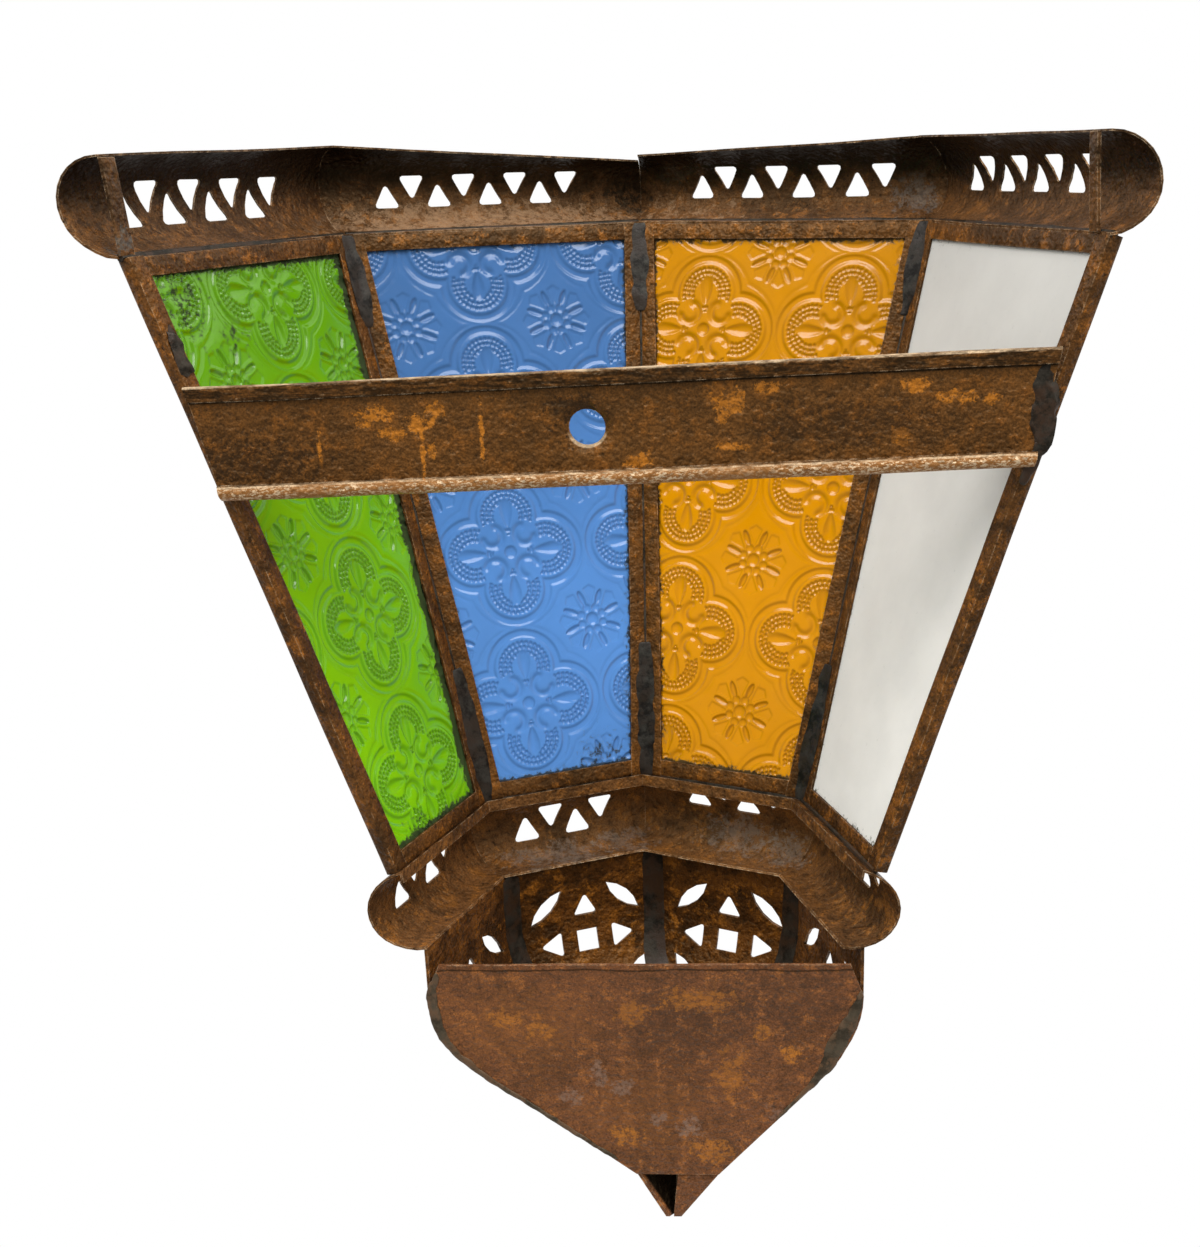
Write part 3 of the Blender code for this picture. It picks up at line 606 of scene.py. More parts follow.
# Crown: four half-round troughs round the top, mitred at the corners and pierced with triangles.
# They are rolled from the same sheet and soldered on, and their upper insides that look down are painted
# near-black as shade.
# Each is let out a little at its ends and its lower lip, where it is soldered to its neighbours.
CROWN_DENT = 0.4 * MM
TROUGH_STEP = 6 * MM
MITRE_CLOSING = 0.25 * MM
LIP_CLOSING = Vector((0, 0, 0.7 * MM))
LIP_HEIGHT = 2 * MM
SHADE_UNEVEN = 5 * MM
SHADE_BELOW = 16 * MM
SHADE_ABOVE = 8 * MM
CROWN_WEAR = 0.8
CROWN_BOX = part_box("crown_segment_2")
CROWN_MIDDLE = (CROWN_BOX[0].z + CROWN_BOX[1].z) / 2
CROWN_BROWN = (0.128, 0.055, 0.0187, 1)
CROWN_ORANGE = (0.29, 0.11, 0.0234, 1)
CROWN_RUST = dict(CHANNEL_RUST, Brown=CROWN_BROWN, Orange=CROWN_ORANGE, Darkness=0.5)
LIP_HIGHLIGHT_TAN = (0.31, 0.185, 0.10, 1)
DARKER_BROWN = (0.035, 0.015, 0.008, 1)
DARK_SPOT_BLACK = (0.012, 0.008, 0.005, 1)
FLUX_GREY = (0.10, 0.095, 0.075, 1)
FLUX_PALE = (0.17, 0.15, 0.13, 1)
FLUX_DULL = (0.09, 0.085, 0.075, 1)
CROWN_STAINS = [
    # The first spot is a painted highlight on the blue side's lower lip, which faces up.
    (LIP_HIGHLIGHT_TAN, 0.65, (52, -148, 60), (80, 60, 8)),
    # The next spot darkens the right trough with a deeper brown, and the fifth is a small black spot at the
    # front.
    (DARKER_BROWN, 0.75, (133, -68, 74), (50, 75, 13)),
    (FLUX_GREY, 0.55, (-24, -166, 80), (15, 12, 7)),
    (FLUX_PALE, 0.6, (-122, -127, 67), (9, 9, 9)),
    (DARK_SPOT_BLACK, 0.9, (-5, -174, 71), (9, 12, 10)),
    (FLUX_DULL, 0.8, (147, -4, 62), (6, 6, 4)),
]


def crown_underside_shade(tree):
    """Mask of painted shade on faces that look down in the crown's upper half."""
    uneven = spread(tree, cloud(tree, 60, 5, 0.7), 0.3, 0.7, -SHADE_UNEVEN, SHADE_UNEVEN)
    height = free_calc(tree, "ADD", place_along(tree, "Z"), uneven)
    above = spread(tree, height, CROWN_MIDDLE - SHADE_BELOW, CROWN_MIDDLE + SHADE_ABOVE)
    return calc(tree, "MULTIPLY", above, spread(tree, facing_along(tree, "Z"), 0.7, -0.4))


def let_out(piece, amount):
    """Lengthens a trough by the same amount at both ends."""
    direction = longest_direction(piece)
    reach = [direction.dot(vertex.co) for vertex in piece.data.vertices]
    middle = (max(reach) + min(reach)) / 2
    half = (max(reach) - min(reach)) / 2
    for vertex in piece.data.vertices:
        vertex.co += direction * (direction.dot(vertex.co) - middle) / half * amount


def move_lip(piece, level, shift):
    """Moves a sheet's points within a lip's height of a level, the nearest ones most."""
    for vertex in piece.data.vertices:
        vertex.co += shift * max(0, 1 - abs(vertex.co.z - level) / LIP_HEIGHT)


CROWN_IRON = rusted_iron("crown_iron", CROWN_RUST, CROWN_WEAR, CROWN_STAINS, [(crown_underside_shade, SHADE_AND_DIRT_BLACK)])
for index in range(1, 5):
    node = "crown_segment_" + str(index)
    segment = copied_sheet(node)
    cut_across(segment, longest_direction(segment), TROUGH_STEP)
    let_out(segment, MITRE_CLOSING)
    move_lip(segment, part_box(node)[0].z, -LIP_CLOSING)
    dent(segment, CROWN_DENT)
    finish_piece(segment, CROWN_IRON)
    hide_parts(node)


# Crown ties: two short strips of sheet that hold the crown's lips together at its wall ends.
# They are flat, cut by hand and soldered to the lips at both ends.
for side in ("left", "right"):
    node = "crown_tie_" + side
    tie = copied_sheet(node, JOINT_CLOSING)
    round_edges(tie, EDGE_ROUND)
    cut_across(tie, longest_direction(tie), TROUGH_STEP)
    dent(tie, CROWN_DENT)
    finish_piece(tie, CROWN_IRON)
    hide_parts(node)


# Ring: four smaller pierced troughs under the panes, rolled and soldered like the crown.
# Their top lips are turned in, their lower lips overhang the base, and pale dust lies in their hollow, with a
# painted sheen on the blue side's lower curve.
LIP_OVERHANG = 1.8 * MM
DUST_AND_SHEEN = (0.203, 0.164, 0.133, 1)
RING_BROWN = (0.142, 0.0575, 0.0165, 1)
RING_ORANGE = (0.30, 0.11, 0.0172, 1)
RING_RUST = dict(CHANNEL_RUST, Brown=RING_BROWN, Orange=RING_ORANGE, Darkness=0.55)
RING_STAINS = [
    (DUST_AND_SHEEN, 0.45, (-50, -82, -186), (16, 12, 7)), (DUST_AND_SHEEN, 0.5, (-69, -71, -189), (10, 10, 6)),
    # These two pale spots are a painted highlight along the lower inner curve on the blue side.
    (DUST_AND_SHEEN, 0.4, (30, -75, -191), (26, 14, 3)), (DUST_AND_SHEEN, 0.35, (0, -86, -191), (12, 10, 3)),
]
RING_IRON = rusted_iron("ring_iron", RING_RUST, CROWN_WEAR, RING_STAINS)
for index in range(1, 5):
    node = "ring_segment_" + str(index)
    segment = copied_sheet(node)
    cut_across(segment, longest_direction(segment), TROUGH_STEP)
    let_out(segment, MITRE_CLOSING)
    low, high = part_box(node)
    inward = Vector((MIDDLE_PLACE - (low.x + high.x) / 2, -(low.y + high.y) / 2, 0)).normalized()
    move_lip(segment, high.z, LIP_CLOSING)
    move_lip(segment, low.z, inward * LIP_OVERHANG)
    dent(segment, CROWN_DENT)
    finish_piece(segment, RING_IRON)
    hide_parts(node)


# Base: four pierced gores that narrow to the finial, bent from sheet and soldered to the ring.
# The corners between them are closed inside by runs of dark solder.
GORE_STEP = 6 * MM
SEAM_CUTS = 2
SEAM_LUMP = 0.35 * MM
SEAM_LUMP_SIZE = 7 * MM
SOLDER_RELIEF = 0.6 * MM
BASE_RUST = {
    "Dark": (0.017, 0.0065, 0.0019, 1),
    "Brown": (0.13, 0.045, 0.0078, 1),
    "Orange": (0.33, 0.115, 0.0125, 1),
    "Bloom": 0.75,
    "Darkness": 0.65,
}
BASE_IRON = rusted_iron("base_iron", BASE_RUST, CHANNEL_WEAR)
for index in range(1, 5):
    node = "base_gore_" + str(index)
    gore = copied_sheet(node, JOINT_CLOSING)
    cut_across(gore, Vector((0, 0, 1)), GORE_STEP)
    cut_across(gore, Vector((1, 0, 0)), GORE_STEP)
    move_lip(gore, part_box(node)[1].z, LIP_CLOSING)
    dent(gore, CROWN_DENT)
    finish_piece(gore, BASE_IRON)
    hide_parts(node)


def lump(piece, cuts, depth, size):
    """Makes an even bead of solder lumpy."""
    bpy.ops.object.mode_set(mode="EDIT")
    bpy.ops.mesh.select_all(action="SELECT")
    bpy.ops.mesh.subdivide(number_cuts=cuts)
    bpy.ops.mesh.vertices_smooth(factor=0.5, repeat=2)
    bpy.ops.object.mode_set(mode="OBJECT")
    dent(piece, depth, size)


def soldered(name, dull, bright, grime):
    """Soft solder: dull grey metal in smears, with grime and rust worked into it."""
    material, tree, shader = new_material(name)
    drag = cloud(tree, 160, 7, 0.7)
    colour = blend(tree, spread(tree, drag, 0.40, 0.62), dull, bright)
    dirty = spread(tree, cloud(tree, 90, 7, 0.75), 0.44, 0.58)
    tree.links.new(blend(tree, dirty, colour, grime), shader.inputs["Base Color"])
    tree.links.new(spread(tree, dirty, 0.0, 1.0, 0.6, 0.1), shader.inputs["Metallic"])
    tree.links.new(spread(tree, drag, 0.3, 0.7, 0.36, 0.62), shader.inputs["Roughness"])
    bump = put(tree, "Bump", {"Height": drag, "Strength": 0.8, "Distance": SOLDER_RELIEF})
    tree.links.new(bump.outputs["Normal"], shader.inputs["Normal"])
    return material


DARK_SOLDER = soldered("dark_solder", dull=(0.022, 0.018, 0.012, 1), bright=(0.06, 0.05, 0.036, 1),
                       grime=(0.04, 0.018, 0.006, 1))
for index in range(1, 4):
    node = "base_seam_" + str(index)
    seam = copied_sheet(node, JOINT_CLOSING)
    lump(seam, SEAM_CUTS, SEAM_LUMP, SEAM_LUMP_SIZE)
    finish_piece(seam, DARK_SOLDER)
    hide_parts(node)


# Back plate: a flat sheet over the wall side of the base, rusted reddish brown.
# It is soldered to the gores along its edges, and the smears of solder lie on its wall side.
PALE_BLOOM = (0.21, 0.135, 0.10, 1)
PLATE_ORANGE = (0.42, 0.145, 0.018, 1)
PLATE_LIGHT = (0.23, 0.083, 0.022, 1)
PLATE_DARK = (0.0585, 0.0281, 0.0172, 1)
PLATE_RUST = {
    "Dark": (0.062, 0.025, 0.010, 1),
    "Brown": (0.152, 0.056, 0.022, 1),
    "Orange": (0.38, 0.135, 0.03, 1),
    "Bloom": 0.6,
    "Darkness": 0.4,
}
PLATE_WEAR = 0.7
PLATE_RELIEF = 2.2 * MM
WALL_REACH = 4


def wall_stains(tint, spots):
    """Stains on the wall side of a sheet, from each spot's strength, place and half sizes in mm."""
    return [(tint, strength, (x, 0, z), (wide, WALL_REACH, tall)) for strength, x, z, wide, tall in spots]


PLATE_STAINS = wall_stains(PLATE_LIGHT, [(0.4, 36, -226, 34, 17), (0.4, -8, -262, 30, 20)])
PLATE_STAINS += wall_stains(PLATE_DARK, [(0.55, -28, -222, 30, 17), (0.5, -68, -214, 24, 14)])
PLATE_STAINS += wall_stains(PALE_BLOOM, [
    (0.7, -28, -270, 5, 4), (0.6, -16, -266, 3, 3), (0.6, 17, -256, 4, 4),
    (0.6, -3, -252, 4, 4), (0.5, -62, -263, 4, 4), (0.6, 6, -246, 3, 5),
])
PLATE_STAINS += wall_stains(PLATE_ORANGE, [
    (0.55, -32, -214, 13, 5), (0.7, -56, -227, 3, 4), (0.8, -67, -238, 4, 4),
    (0.7, -4, -273, 7, 4), (0.6, -36, -281, 8, 5), (0.55, 40, -222, 6, 4),
    (0.5, 27, -226, 6, 5), (0.5, -7, -219, 6, 5), (0.45, -44, -246, 7, 10),
])
PLATE_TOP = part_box("back_plate")[1].z
CREASE_DROP = 2 * MM
CREASE_HALF = 0.6 * MM
CREASE_DEEP = 0.15 * MM
CREASE_UNEVEN = 0.5 * MM


def plate_crease_shadow(tree):
    """Mask of a painted shadow line in the crease below the plate's upper edge."""
    uneven = spread(tree, cloud(tree, 50, 4, 0.6), 0.3, 0.7, -CREASE_UNEVEN, CREASE_UNEVEN)
    height = free_calc(tree, "ADD", place_along(tree, "Z"), uneven)
    off = free_calc(tree, "ABSOLUTE", free_calc(tree, "SUBTRACT", height, PLATE_TOP - CREASE_DROP))
    return spread(tree, off, CREASE_HALF, CREASE_DEEP, 0.0, 0.7)


def plate_streaks(tree):
    """Mask of thin upright streaks of water stain."""
    place = put(tree, "Mapping", {"Vector": object_place(tree), "Scale": (1, 1, 0.1)}).outputs[0]
    values = {"Vector": place, "Scale": 420, "Detail": 4, "Roughness": 0.7}
    return spread(tree, put(tree, "TexNoise", values).outputs["Fac"], 0.58, 0.68, 0.0, 0.45)


PLATE_SHADES = [(plate_streaks, PLATE_DARK), (plate_crease_shadow, SHADE_AND_DIRT_BLACK)]
PLATE_IRON = rusted_iron("plate_iron", PLATE_RUST, PLATE_WEAR, PLATE_STAINS, PLATE_SHADES,
                         relief=PLATE_RELIEF)
plate = copied_sheet("back_plate", JOINT_CLOSING)
cut_across(plate, Vector((1, 0, 0)), GORE_STEP)
cut_across(plate, Vector((0, 0, 1)), GORE_STEP)
dent(plate, CROWN_DENT)
finish_piece(plate, PLATE_IRON)
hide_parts("back_plate")

OLIVE_SOLDER = soldered("olive_solder", dull=(0.065, 0.049, 0.029, 1), bright=(0.13, 0.10, 0.062, 1),
                        grime=(0.12, 0.062, 0.026, 1))
SMEAR_THICK = 0.6 * MM
SMEAR_LIFT = 0.25 * MM
RAGGED_SIZE = 6 * MM
RAGGED_FINE = 2 * MM
RAGGED_DEPTH = 0.7 * MM
RAGGED_FLATNESS = 0.1
PLATE_RUNS = {
    "plate_run_left": [
        (65.2, -206, 1.3), (66.8, -213, 1.9), (66.1, -221, 2.0), (64.2, -228.5, 1.9), (60.6, -235, 1.6),
        (55.2, -241, 1.4), (49.1, -246.6, 1.2), (40.6, -253.3, 1.1), (31.6, -260.2, 1.0),
        (22.6, -267.2, 1.0), (13.6, -274.2, 0.9), (4.6, -281, 0.9),
    ],
    "plate_run_right": [
        (-91.8, -213, 0.9), (-90.2, -219, 2.0), (-87.2, -226, 3.1), (-83.8, -233, 3.7),
        (-81.2, -240, 2.7), (-77.2, -246.5, 1.7), (-71.6, -253.5, 1.0), (-64.8, -261.5, 0.8),
    ],
}


def smear(name, spots, material):
    """A thin ragged run of solder on the wall side of a sheet, from flattened balls at spots in mm."""
    balls = []
    for index, (x, z, half) in enumerate(spots):
        ahead = spots[min(index + 1, len(spots) - 1)]
        behind = spots[max(index - 1, 0)]
        along = Vector((ahead[0] - behind[0], 0, ahead[1] - behind[1]))
        bpy.ops.mesh.primitive_uv_sphere_add(segments=32, ring_count=16, radius=1,
                                             location=(x * MM, SMEAR_LIFT, z * MM))
        ball = bpy.context.object
        ball.rotation_euler = along.to_track_quat("Z", "Y").to_euler()
        ball.scale = (SMEAR_THICK, half * MM, along.length * 0.5 * MM)
        balls.append(ball)
    bpy.ops.object.select_all(action="DESELECT")
    for ball in balls:
        ball.select_set(True)
    bpy.context.view_layer.objects.active = balls[0]
    bpy.ops.object.join()
    bpy.ops.object.transform_apply(location=True, rotation=True, scale=True)
    run = bpy.context.object
    run.name = name
    for vertex in run.data.vertices:
        push = noise.noise_vector(vertex.co / RAGGED_SIZE) * 0.7
        push += noise.noise_vector(vertex.co / RAGGED_FINE) * 0.3
        vertex.co += Vector((push.x, push.y * RAGGED_FLATNESS, push.z)) * RAGGED_DEPTH
    dent(run, CROWN_DENT)
    finish_piece(run, material)


for name, spots in PLATE_RUNS.items():
    smear(name, spots, OLIVE_SOLDER)


# Finial: a half pyramid folded from one sheet under the narrow end of the base.
# Its flap covers half of the wall side, and the other half is open.
FINIAL_STEP = 3 * MM
HOLLOW_START = -1.4 * MM
HOLLOW_FULL = -2.2 * MM


def hollow_shade(tree):
    """Mask of painted shade on the finial's inner walls, which lie back from the wall and face it."""
    back = spread(tree, place_along(tree, "Y"), HOLLOW_START, HOLLOW_FULL)
    return calc(tree, "MULTIPLY", back, spread(tree, facing_along(tree, "Y"), 0.1, 0.4))


FINIAL_IRON = rusted_iron("finial_iron", PLATE_RUST, PLATE_WEAR, shades=[(hollow_shade, SHADE_AND_DIRT_BLACK)])
finial = copied_sheet("finial")
round_edges(finial, EDGE_ROUND)
cut_across(finial, Vector((0, 0, 1)), FINIAL_STEP)
dent(finial, CROWN_DENT)
finish_piece(finial, FINIAL_IRON)
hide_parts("finial")


# Strap: a band of sheet across the open back, both edges hemmed to the wall side, the lower hem rolled.
# A round hole is punched through it, and the punch has dished the sheet round the hole.
# It is soldered to the wall channels at its ends; its lower hem is painted lighter, partly rust and partly
# painted light, with painted highlights there, on both hems' edges and on the hole's lower rim.
STRAP_STEP = 5 * MM
STRAP_FINE_STEP = 0.8 * MM
STRAP_DENT = 0.4 * MM
STRAP_TILT = radians(1.46)
STRAP_HALF = 19 * MM
STRAP_UP = Vector((sin(STRAP_TILT), 0, cos(STRAP_TILT)))
HOLE_RADIUS = 6.25 * MM
DISH_RADIUS = 9.5 * MM
DISH_DEPTH = 2.0 * MM
DISH_CURVE = 1.6
DISH_CUTS = 25
RIM_BRIGHT = 0.3 * MM
RIM_FADE = 0.8 * MM
RIM_START = -1 * MM
RIM_FULL = -4 * MM
HEM_WIDTH = 4.7 * MM
HEM_ROLL = 1.3 * MM
HEM_FACE = 0.2 * MM
HEM_FADE = 0.4 * MM
FOLD_SOFT = 0.2 * MM
FOLD_DROP = 0.3 * MM
FOLD_HALF = 0.8 * MM
GLINT_HALF = 0.5 * MM
GLINT_FULL = 0.15 * MM
EDGE_START = 0.5 * MM
EDGE_FULL = 0.1 * MM
LOWER_HEM = HEM_WIDTH - STRAP_HALF
UPPER_HEM = STRAP_HALF - HEM_WIDTH
STRAP_WEAR = 0.6
STRAP_RELIEF = 2.4 * MM
STRAP_ORANGE = (0.40, 0.135, 0.0109, 1)
HEM_RUST_AND_LIGHT_BROWN = (0.27, 0.112, 0.030, 1)
STRAP_DARK = (0.0234, 0.0109, 0.00468, 1)
STRAP_RUST = {
    "Dark": (0.036, 0.0150, 0.0039, 1),
    "Brown": (0.108, 0.0415, 0.0085, 1),
    "Orange": (0.22, 0.075, 0.0109, 1),
    "Bloom": 0.4,
    "Darkness": 0.45,
}
STRAP_STAINS = wall_stains(STRAP_ORANGE, [
    (0.95, 70, 5, 6, 3), (0.95, 63, 0, 6, 2.5), (0.9, 55, 3, 5, 2.5), (0.9, 49, 7, 4, 2.5),
    (1.0, 54.7, -6, 0.9, 9), (1.0, 51.5, -7, 1.4, 3), (0.95, 34.7, -3, 0.8, 10), (0.9, 88.8, -5, 0.9, 6),
    (0.8, -46, 7, 5, 6), (0.8, -58, 12, 4, 2), (0.8, -47, -7, 6, 1.5), (0.95, -106, 12, 5, 2.5),
    (0.95, -121, 8, 7, 2), (0.85, -131, 7, 3, 2), (0.8, -102, -5, 4, 3), (0.95, -17, -11, 4, 2.5),
])
# The last of these dark spots paints shade in the dish above the hole.
STRAP_STAINS += wall_stains(STRAP_DARK, [(0.8, 115, -9, 26, 8), (0.6, -84, 0, 30, 9), (0.9, 3, 3.5, 9, 8)])


def strap_level(tree):
    """Height above the strap's own middle line, which slopes a little."""
    rise = free_calc(tree, "MULTIPLY", place_along(tree, "X"), sin(STRAP_TILT))
    return free_calc(tree, "ADD", rise, place_along(tree, "Z"))


def hem_streaks(tree, scale, drawn):
    """Noise drawn out along the strap."""
    place = put(tree, "Mapping", {"Vector": object_place(tree), "Scale": (drawn, 1, 1)}).outputs[0]
    values = {"Vector": place, "Scale": scale, "Detail": 5, "Roughness": 0.75}
    return put(tree, "TexNoise", values).outputs["Fac"]


def hem_rust_and_light(tree):
    """Mask of the lower hem, painted a lighter brown that is partly rust and partly painted light."""
    return spread(tree, strap_level(tree), LOWER_HEM, LOWER_HEM - HEM_FADE, 0.0, 0.7)


def hem_shade(tree):
    """Mask of darker streaks on the upper hem, and of a painted shadow line in the fold beside it."""
    level = strap_level(tree)
    hem = spread(tree, level, UPPER_HEM - FOLD_SOFT, UPPER_HEM + FOLD_SOFT)
    dirt = spread(tree, hem_streaks(tree, 700, 0.12), 0.60, 0.42, 0.1, 0.8)
    off = free_calc(tree, "ABSOLUTE", free_calc(tree, "SUBTRACT", level, UPPER_HEM - FOLD_DROP))
    fold = spread(tree, off, FOLD_HALF, FOLD_SOFT, 0.0, 0.85)
    return calc(tree, "MAXIMUM", calc(tree, "MULTIPLY", hem, dirt), fold)


def strap_painted_highlights(tree):
    """Mask of painted highlights in flecks on the lower hem, on both hems' edges and on the hole's lower rim.
    """
    level = strap_level(tree)
    lower = spread(tree, level, LOWER_HEM, HEM_WIDTH * 0.8 - STRAP_HALF)
    flecks = spread(tree, hem_streaks(tree, 1300, 0.45), 0.50, 0.57)
    patchy = spread(tree, cloud(tree, 40, 3, 0.6), 0.40, 0.56, 0.3, 1.0)
    lower = calc(tree, "MULTIPLY", calc(tree, "MULTIPLY", lower, flecks), patchy)
    off = free_calc(tree, "ABSOLUTE", free_calc(tree, "SUBTRACT", level, HEM_WIDTH * 0.94 - STRAP_HALF))
    fold = spread(tree, off, GLINT_HALF, GLINT_FULL)
    upper = spread(tree, level, STRAP_HALF - EDGE_START, STRAP_HALF - EDGE_FULL)
    broken = spread(tree, hem_streaks(tree, 500, 0.2), 0.40, 0.60, 0.1, 0.75)
    edges = calc(tree, "MULTIPLY", calc(tree, "MAXIMUM", fold, upper), broken)
    flat = put(tree, "VectorMath", {0: object_place(tree), 1: (1, 0, 1)}, operation="MULTIPLY").outputs[0]
    radius = put(tree, "VectorMath", {0: flat}, operation="LENGTH").outputs["Value"]
    near = spread(tree, radius, HOLE_RADIUS + RIM_FADE, HOLE_RADIUS + RIM_BRIGHT)
    below = spread(tree, place_along(tree, "Z"), RIM_START, RIM_FULL, 0.0, 0.6)
    hole_rim = calc(tree, "MULTIPLY", near, below)
    return calc(tree, "MAXIMUM", calc(tree, "MAXIMUM", lower, edges), hole_rim)


STRAP_SHADES = [(hem_rust_and_light, HEM_RUST_AND_LIGHT_BROWN), (hem_shade, SHADE_AND_DIRT_BLACK)]
STRAP_IRON = rusted_iron("strap_iron", STRAP_RUST, STRAP_WEAR, STRAP_STAINS, STRAP_SHADES, strap_painted_highlights,
                         STRAP_RELIEF)
strap = copied_sheet("back_strap", JOINT_CLOSING)
cut_across(strap, longest_direction(strap), STRAP_STEP)
cut_across(strap, STRAP_UP, STRAP_FINE_STEP)
bpy.ops.object.mode_set(mode="EDIT")
for level in np.linspace(-DISH_RADIUS, DISH_RADIUS, DISH_CUTS):
    bpy.ops.mesh.select_all(action="SELECT")
    bpy.ops.mesh.bisect(plane_co=(level, 0, 0), plane_no=(1, 0, 0))
bpy.ops.object.mode_set(mode="OBJECT")
for vertex in strap.data.vertices:
    share = max(0, min(1, (DISH_RADIUS - vertex.co.xz.length) / (DISH_RADIUS - HOLE_RADIUS)))
    vertex.co.y -= DISH_DEPTH * share ** DISH_CURVE
    level = (STRAP_UP.dot(vertex.co) + STRAP_HALF) / HEM_WIDTH
    if level < 1 and vertex.co.y > HEM_FACE:
        vertex.co.y += HEM_ROLL * sin(pi * max(0, level))
dent(strap, STRAP_DENT)
finish_piece(strap, STRAP_IRON)
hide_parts("back_strap")


# Solder: runs in the three inner corners, and lumps where the strap meets the frame.
# Thin dark runs close the corners between the channels and their joints with the crown and the ring,
# and a smear carries the right lump down onto the channel.
SOLDER = soldered("solder", dull=(0.012, 0.010, 0.008, 1), bright=(0.055, 0.050, 0.041, 1),
                  grime=(0.022, 0.012, 0.005, 1))
SOLDER_CUTS = 4
SOLDER_LUMP = 0.5 * MM
SOLDER_LUMP_SIZE = 6 * MM
PATCH_CUTS = 3
PATCH_LUMP = 0.3 * MM
PATCH_LUMP_SIZE = 3 * MM
PATCH_SPREAD = 2 * MM
PATCH_SPREAD_SIZE = 8 * MM
PATCH_RAGGED = 1 * MM
PATCH_RAGGED_SIZE = 3 * MM
CORNER_RADIUS = 1.3 * MM
CORNER_SET_BACK = 1.7 * MM
JOINT_RADIUS = 1.4 * MM
JOINT_OVERLAP = 3 * MM
PATCH_NARROWING = 0.38
RUN_SIDES = 8
RUN_STEP = 4 * MM
RUN_DENT = 0.3 * MM
RUN_DENT_SIZE = 8 * MM
RIM_DEPTH = 1.5 * MM
STRAP_RUN = [(-147, -9, 2.2), (-145, -14, 2.4), (-143, -19, 1.8)]
for place in ("top", "bottom"):
    for index in range(1, 4):
        node = "seam_solder_" + place + "_" + str(index)
        bead = copied_sheet(node, JOINT_CLOSING)
        lump(bead, SOLDER_CUTS, SOLDER_LUMP, SOLDER_LUMP_SIZE)
        finish_piece(bead, SOLDER)
        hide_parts(node)
for side in ("left", "right"):
    node = "strap_solder_" + side
    patch = copied_sheet(node, JOINT_CLOSING)
    lump(patch, PATCH_CUTS, PATCH_LUMP, PATCH_LUMP_SIZE)
    for vertex in patch.data.vertices:
        push = noise.noise_vector(vertex.co / PATCH_SPREAD_SIZE) * PATCH_SPREAD
        push += noise.noise_vector(vertex.co / PATCH_RAGGED_SIZE) * PATCH_RAGGED
        vertex.co += Vector((push.x, push.y * RAGGED_FLATNESS, push.z))
        if side == "right":
            vertex.co.x += (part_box(node)[0].x - vertex.co.x) * PATCH_NARROWING
    finish_piece(patch, DARK_SOLDER)
    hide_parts(node)
smear("strap_run", STRAP_RUN, DARK_SOLDER)


def rod(name, start, end, radius, material):
    """A thin uneven run of solder between two places."""
    run = end - start
    bpy.ops.object.select_all(action="DESELECT")
    bpy.ops.mesh.primitive_cylinder_add(vertices=RUN_SIDES, radius=radius, depth=run.length,
                                        location=(start + end) / 2,
                                        rotation=run.to_track_quat("Z", "Y").to_euler())
    piece = bpy.context.object
    piece.name = name
    bpy.ops.object.transform_apply(location=True, rotation=True, scale=True)
    cut_across(piece, run.normalized(), RUN_STEP)
    dent(piece, RUN_DENT, RUN_DENT_SIZE)
    finish_piece(piece, material)


def rim(node, upper):
    """The two ends of a sheet's upper or lower edge."""
    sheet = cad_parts[node]
    direction = longest_direction(sheet)
    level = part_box(node)[1 if upper else 0].z
    points = [vertex.co.copy() for vertex in sheet.data.vertices]
    points = [point for point in points if abs(point.z - level) < RIM_DEPTH]
    reach = [direction.dot(point) for point in points]
    first = [point for point, value in zip(points, reach) if value - min(reach) < RIM_DEPTH]
    last = [point for point, value in zip(points, reach) if max(reach) - value < RIM_DEPTH]
    ends = [sum(group, Vector()) / len(group) for group in (first, last)]
    return sorted(ends, key=lambda point: (point.x, point.y))


for index in range(1, 4):
    boxes = [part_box("seam_solder_" + place + "_" + str(index)) for place in ("top", "bottom")]
    upper, lower = [(box[0] + box[1]) / 2 for box in boxes]
    slope = (upper - lower) / (upper.z - lower.z)
    angle = index * pi / 4
    aside = Vector((cos(angle), -sin(angle), 0)) * CORNER_SET_BACK
    start = upper + slope * (boxes[0][1].z - upper.z) + aside
    end = lower + slope * (boxes[1][0].z - lower.z) + aside
    rod("corner_solder_" + str(index), start, end, CORNER_RADIUS, DARK_SOLDER)
for index, colour in enumerate(("green", "blue", "amber", "white"), 1):
    joints = [("ring_solder_", "channel_" + colour + "_bottom", "ring_segment_" + str(index)),
              ("crown_solder_", "crown_segment_" + str(index), "channel_" + colour + "_top")]
    for name, above, below in joints:
        pairs = zip(rim(above, False), rim(below, True))
        start, end = [(first + second) / 2 for first, second in pairs]
        beyond = (end - start).normalized() * JOINT_OVERLAP
        rod(name + str(index), start - beyond, end + beyond, JOINT_RADIUS, DARK_SOLDER)


# Room: a plain pale floor far below the lantern, with white all round for the eye.
# Two soft lamps hang over it to the left and the right.
# Glass and metal reflect a dim room on the lantern's wall side, which keeps their contrast.
FLOOR_DROP = 1.0
FLOOR_WIDTH = 1.2
FLOOR_COLOUR = (0.8, 0.8, 0.8, 1)
FLOOR_ROUGHNESS = 0.9
FLOOR_WHITENESS = 0.9
WHITE = (1, 1, 1, 1)
LAMP_PLACES = [Vector((0.55, 0.4, 1.15)), Vector((-0.55, 0.4, 1.15))]
LAMP_AIM = Vector((0, -0.05, 0))
LAMP_POWER = 13.6
LAMP_SIZE = 0.85


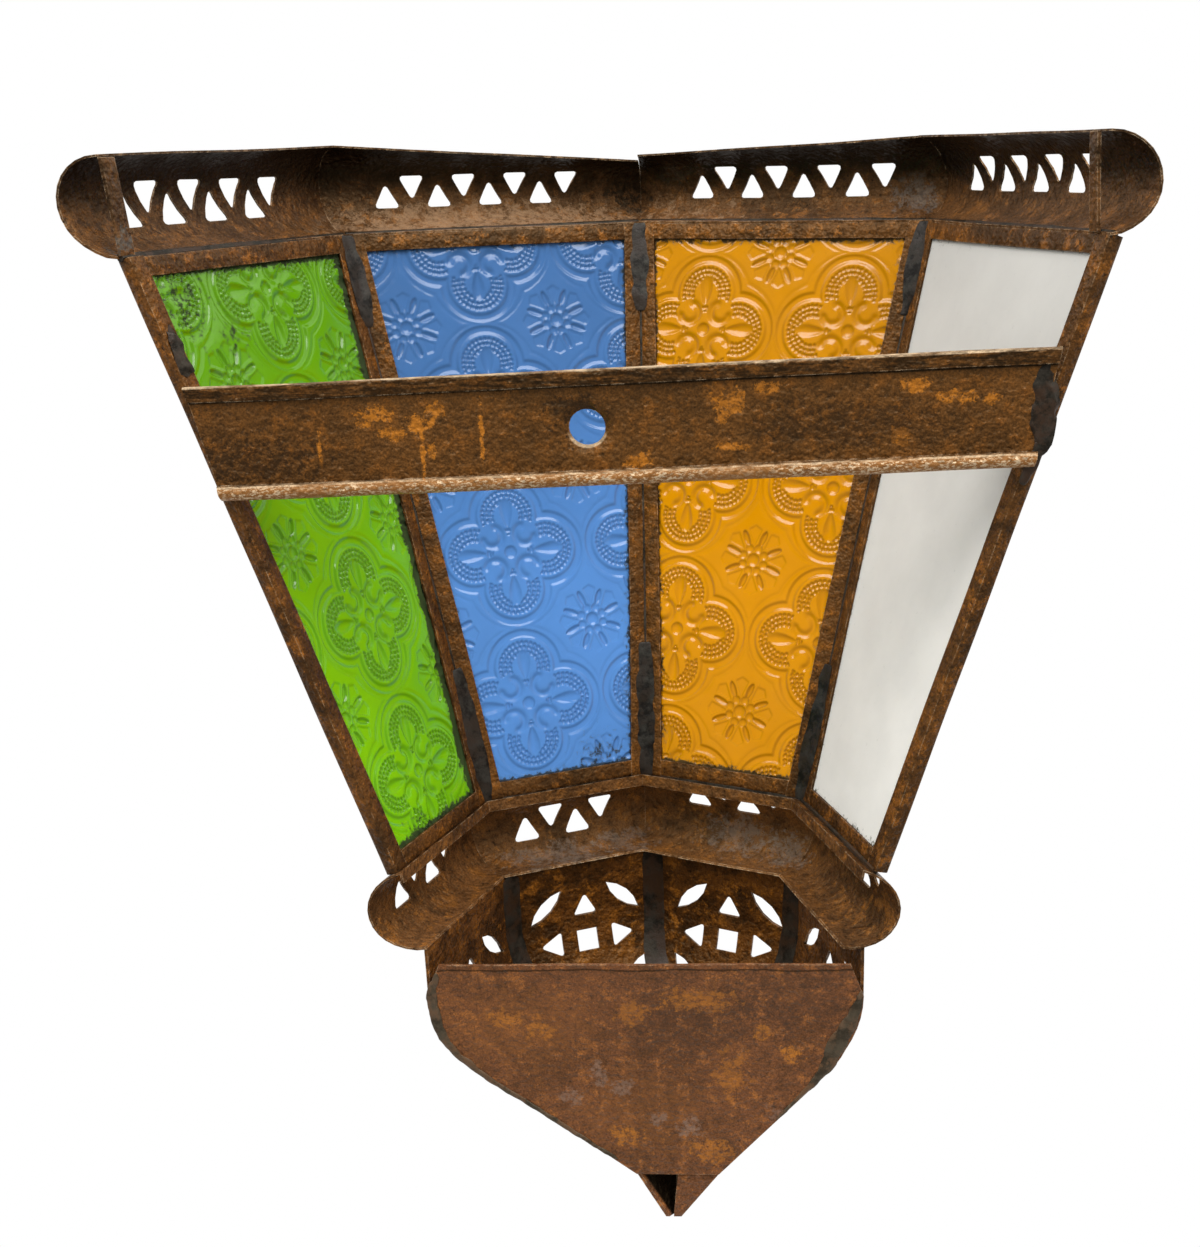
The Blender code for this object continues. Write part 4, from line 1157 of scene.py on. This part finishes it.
def seen_rays(tree):
    """Mask of rays by which the eye sees a thing, straight or through metal and glass."""
    path = put(tree, "LightPath").outputs
    straight = calc(tree, "ADD", path["Is Camera Ray"], path["Is Glossy Ray"])
    return calc(tree, "ADD", straight, path["Is Transmission Ray"])


bpy.ops.object.select_all(action="DESELECT")
bpy.ops.mesh.primitive_plane_add(size=FLOOR_WIDTH, location=(0, 0, -FLOOR_DROP))
floor = bpy.context.object
floor.name = "floor"
bpy.ops.object.transform_apply(location=True)
pale, tree, shader = new_material("pale_floor")
shader.inputs["Base Color"].default_value = FLOOR_COLOUR
shader.inputs["Roughness"].default_value = FLOOR_ROUGHNESS
glow = put(tree, "Emission", {"Color": WHITE, "Strength": 1.0})
seen = calc(tree, "MULTIPLY", seen_rays(tree), FLOOR_WHITENESS)
mixed = put(tree, "MixShader", {0: seen, 1: shader.outputs[0], 2: glow.outputs[0]})
tree.links.new(mixed.outputs[0], tree.nodes["Material Output"].inputs["Surface"])
floor.data.materials.append(pale)

world = bpy.data.worlds.new("white_room")
bpy.context.scene.world = world
world.use_nodes = True
tree = world.node_tree
path = put(tree, "LightPath").outputs
sides = put(tree, "SeparateXYZ", {0: put(tree, "TexCoord").outputs["Generated"]}).outputs
light = spread(tree, sides["Z"], -0.5, 0.9, 0.68, 0.94)
soft = put(tree, "Background", {"Color": WHITE, "Strength": light})
dim = spread(tree, sides["Y"], 0.25, -0.05, 0.12, 1.0)
opaque = calc(tree, "SUBTRACT", 1, path["Is Transmission Ray"])
fall = calc(tree, "MAXIMUM", spread(tree, sides["Z"], -0.05, -0.42, 0.8, 1.0), opaque)
strength = calc(tree, "MAXIMUM", path["Is Camera Ray"], calc(tree, "MULTIPLY", dim, fall))
white = put(tree, "Background", {"Color": WHITE, "Strength": strength})
mixed = put(tree, "MixShader", {0: seen_rays(tree), 1: soft.outputs[0], 2: white.outputs[0]})
tree.links.new(mixed.outputs[0], tree.nodes["World Output"].inputs["Surface"])

for place in LAMP_PLACES:
    lamp = bpy.data.lights.new("lamp", "AREA")
    lamp.energy = LAMP_POWER
    lamp.size = LAMP_SIZE
    lamp_object = bpy.data.objects.new("lamp", lamp)
    lamp_object.location = place
    lamp_object.rotation_euler = (LAMP_AIM - place).to_track_quat("-Z", "Y").to_euler()
    bpy.context.collection.objects.link(lamp_object)


# Camera: it looks into the open back from a little above.
# Its place and lens are worked out from the lantern's corners in the picture, and its shift is small.
CAMERA_PLACE = Vector((-45.06, 475.61, 84.45)) * MM
LOOK_ROUND = radians(177.407)
LOOK_DOWN = radians(-17.695)
ROLL = radians(-1.541)
SENSOR_WIDTH = 36
PICTURE_HEIGHT = 1247
FOCAL_PIXELS = 1467.9
SIDE_PIXELS = 64
camera = bpy.data.cameras.new("camera")
camera.sensor_width = SENSOR_WIDTH
camera.lens = FOCAL_PIXELS * SENSOR_WIDTH / PICTURE_HEIGHT
camera.shift_x = -SIDE_PIXELS / PICTURE_HEIGHT
camera_object = bpy.data.objects.new("camera", camera)
level = Vector((sin(LOOK_ROUND), cos(LOOK_ROUND), 0))
look = level * cos(LOOK_DOWN) + Vector((0, 0, sin(LOOK_DOWN)))
camera_object.location = CAMERA_PLACE
turn = look.to_track_quat("-Z", "Y") @ Quaternion((0, 0, 1), ROLL)
camera_object.rotation_euler = turn.to_euler()
bpy.context.collection.objects.link(camera_object)
bpy.context.scene.camera = camera_object
bpy.context.scene.view_settings.view_transform = "Standard"
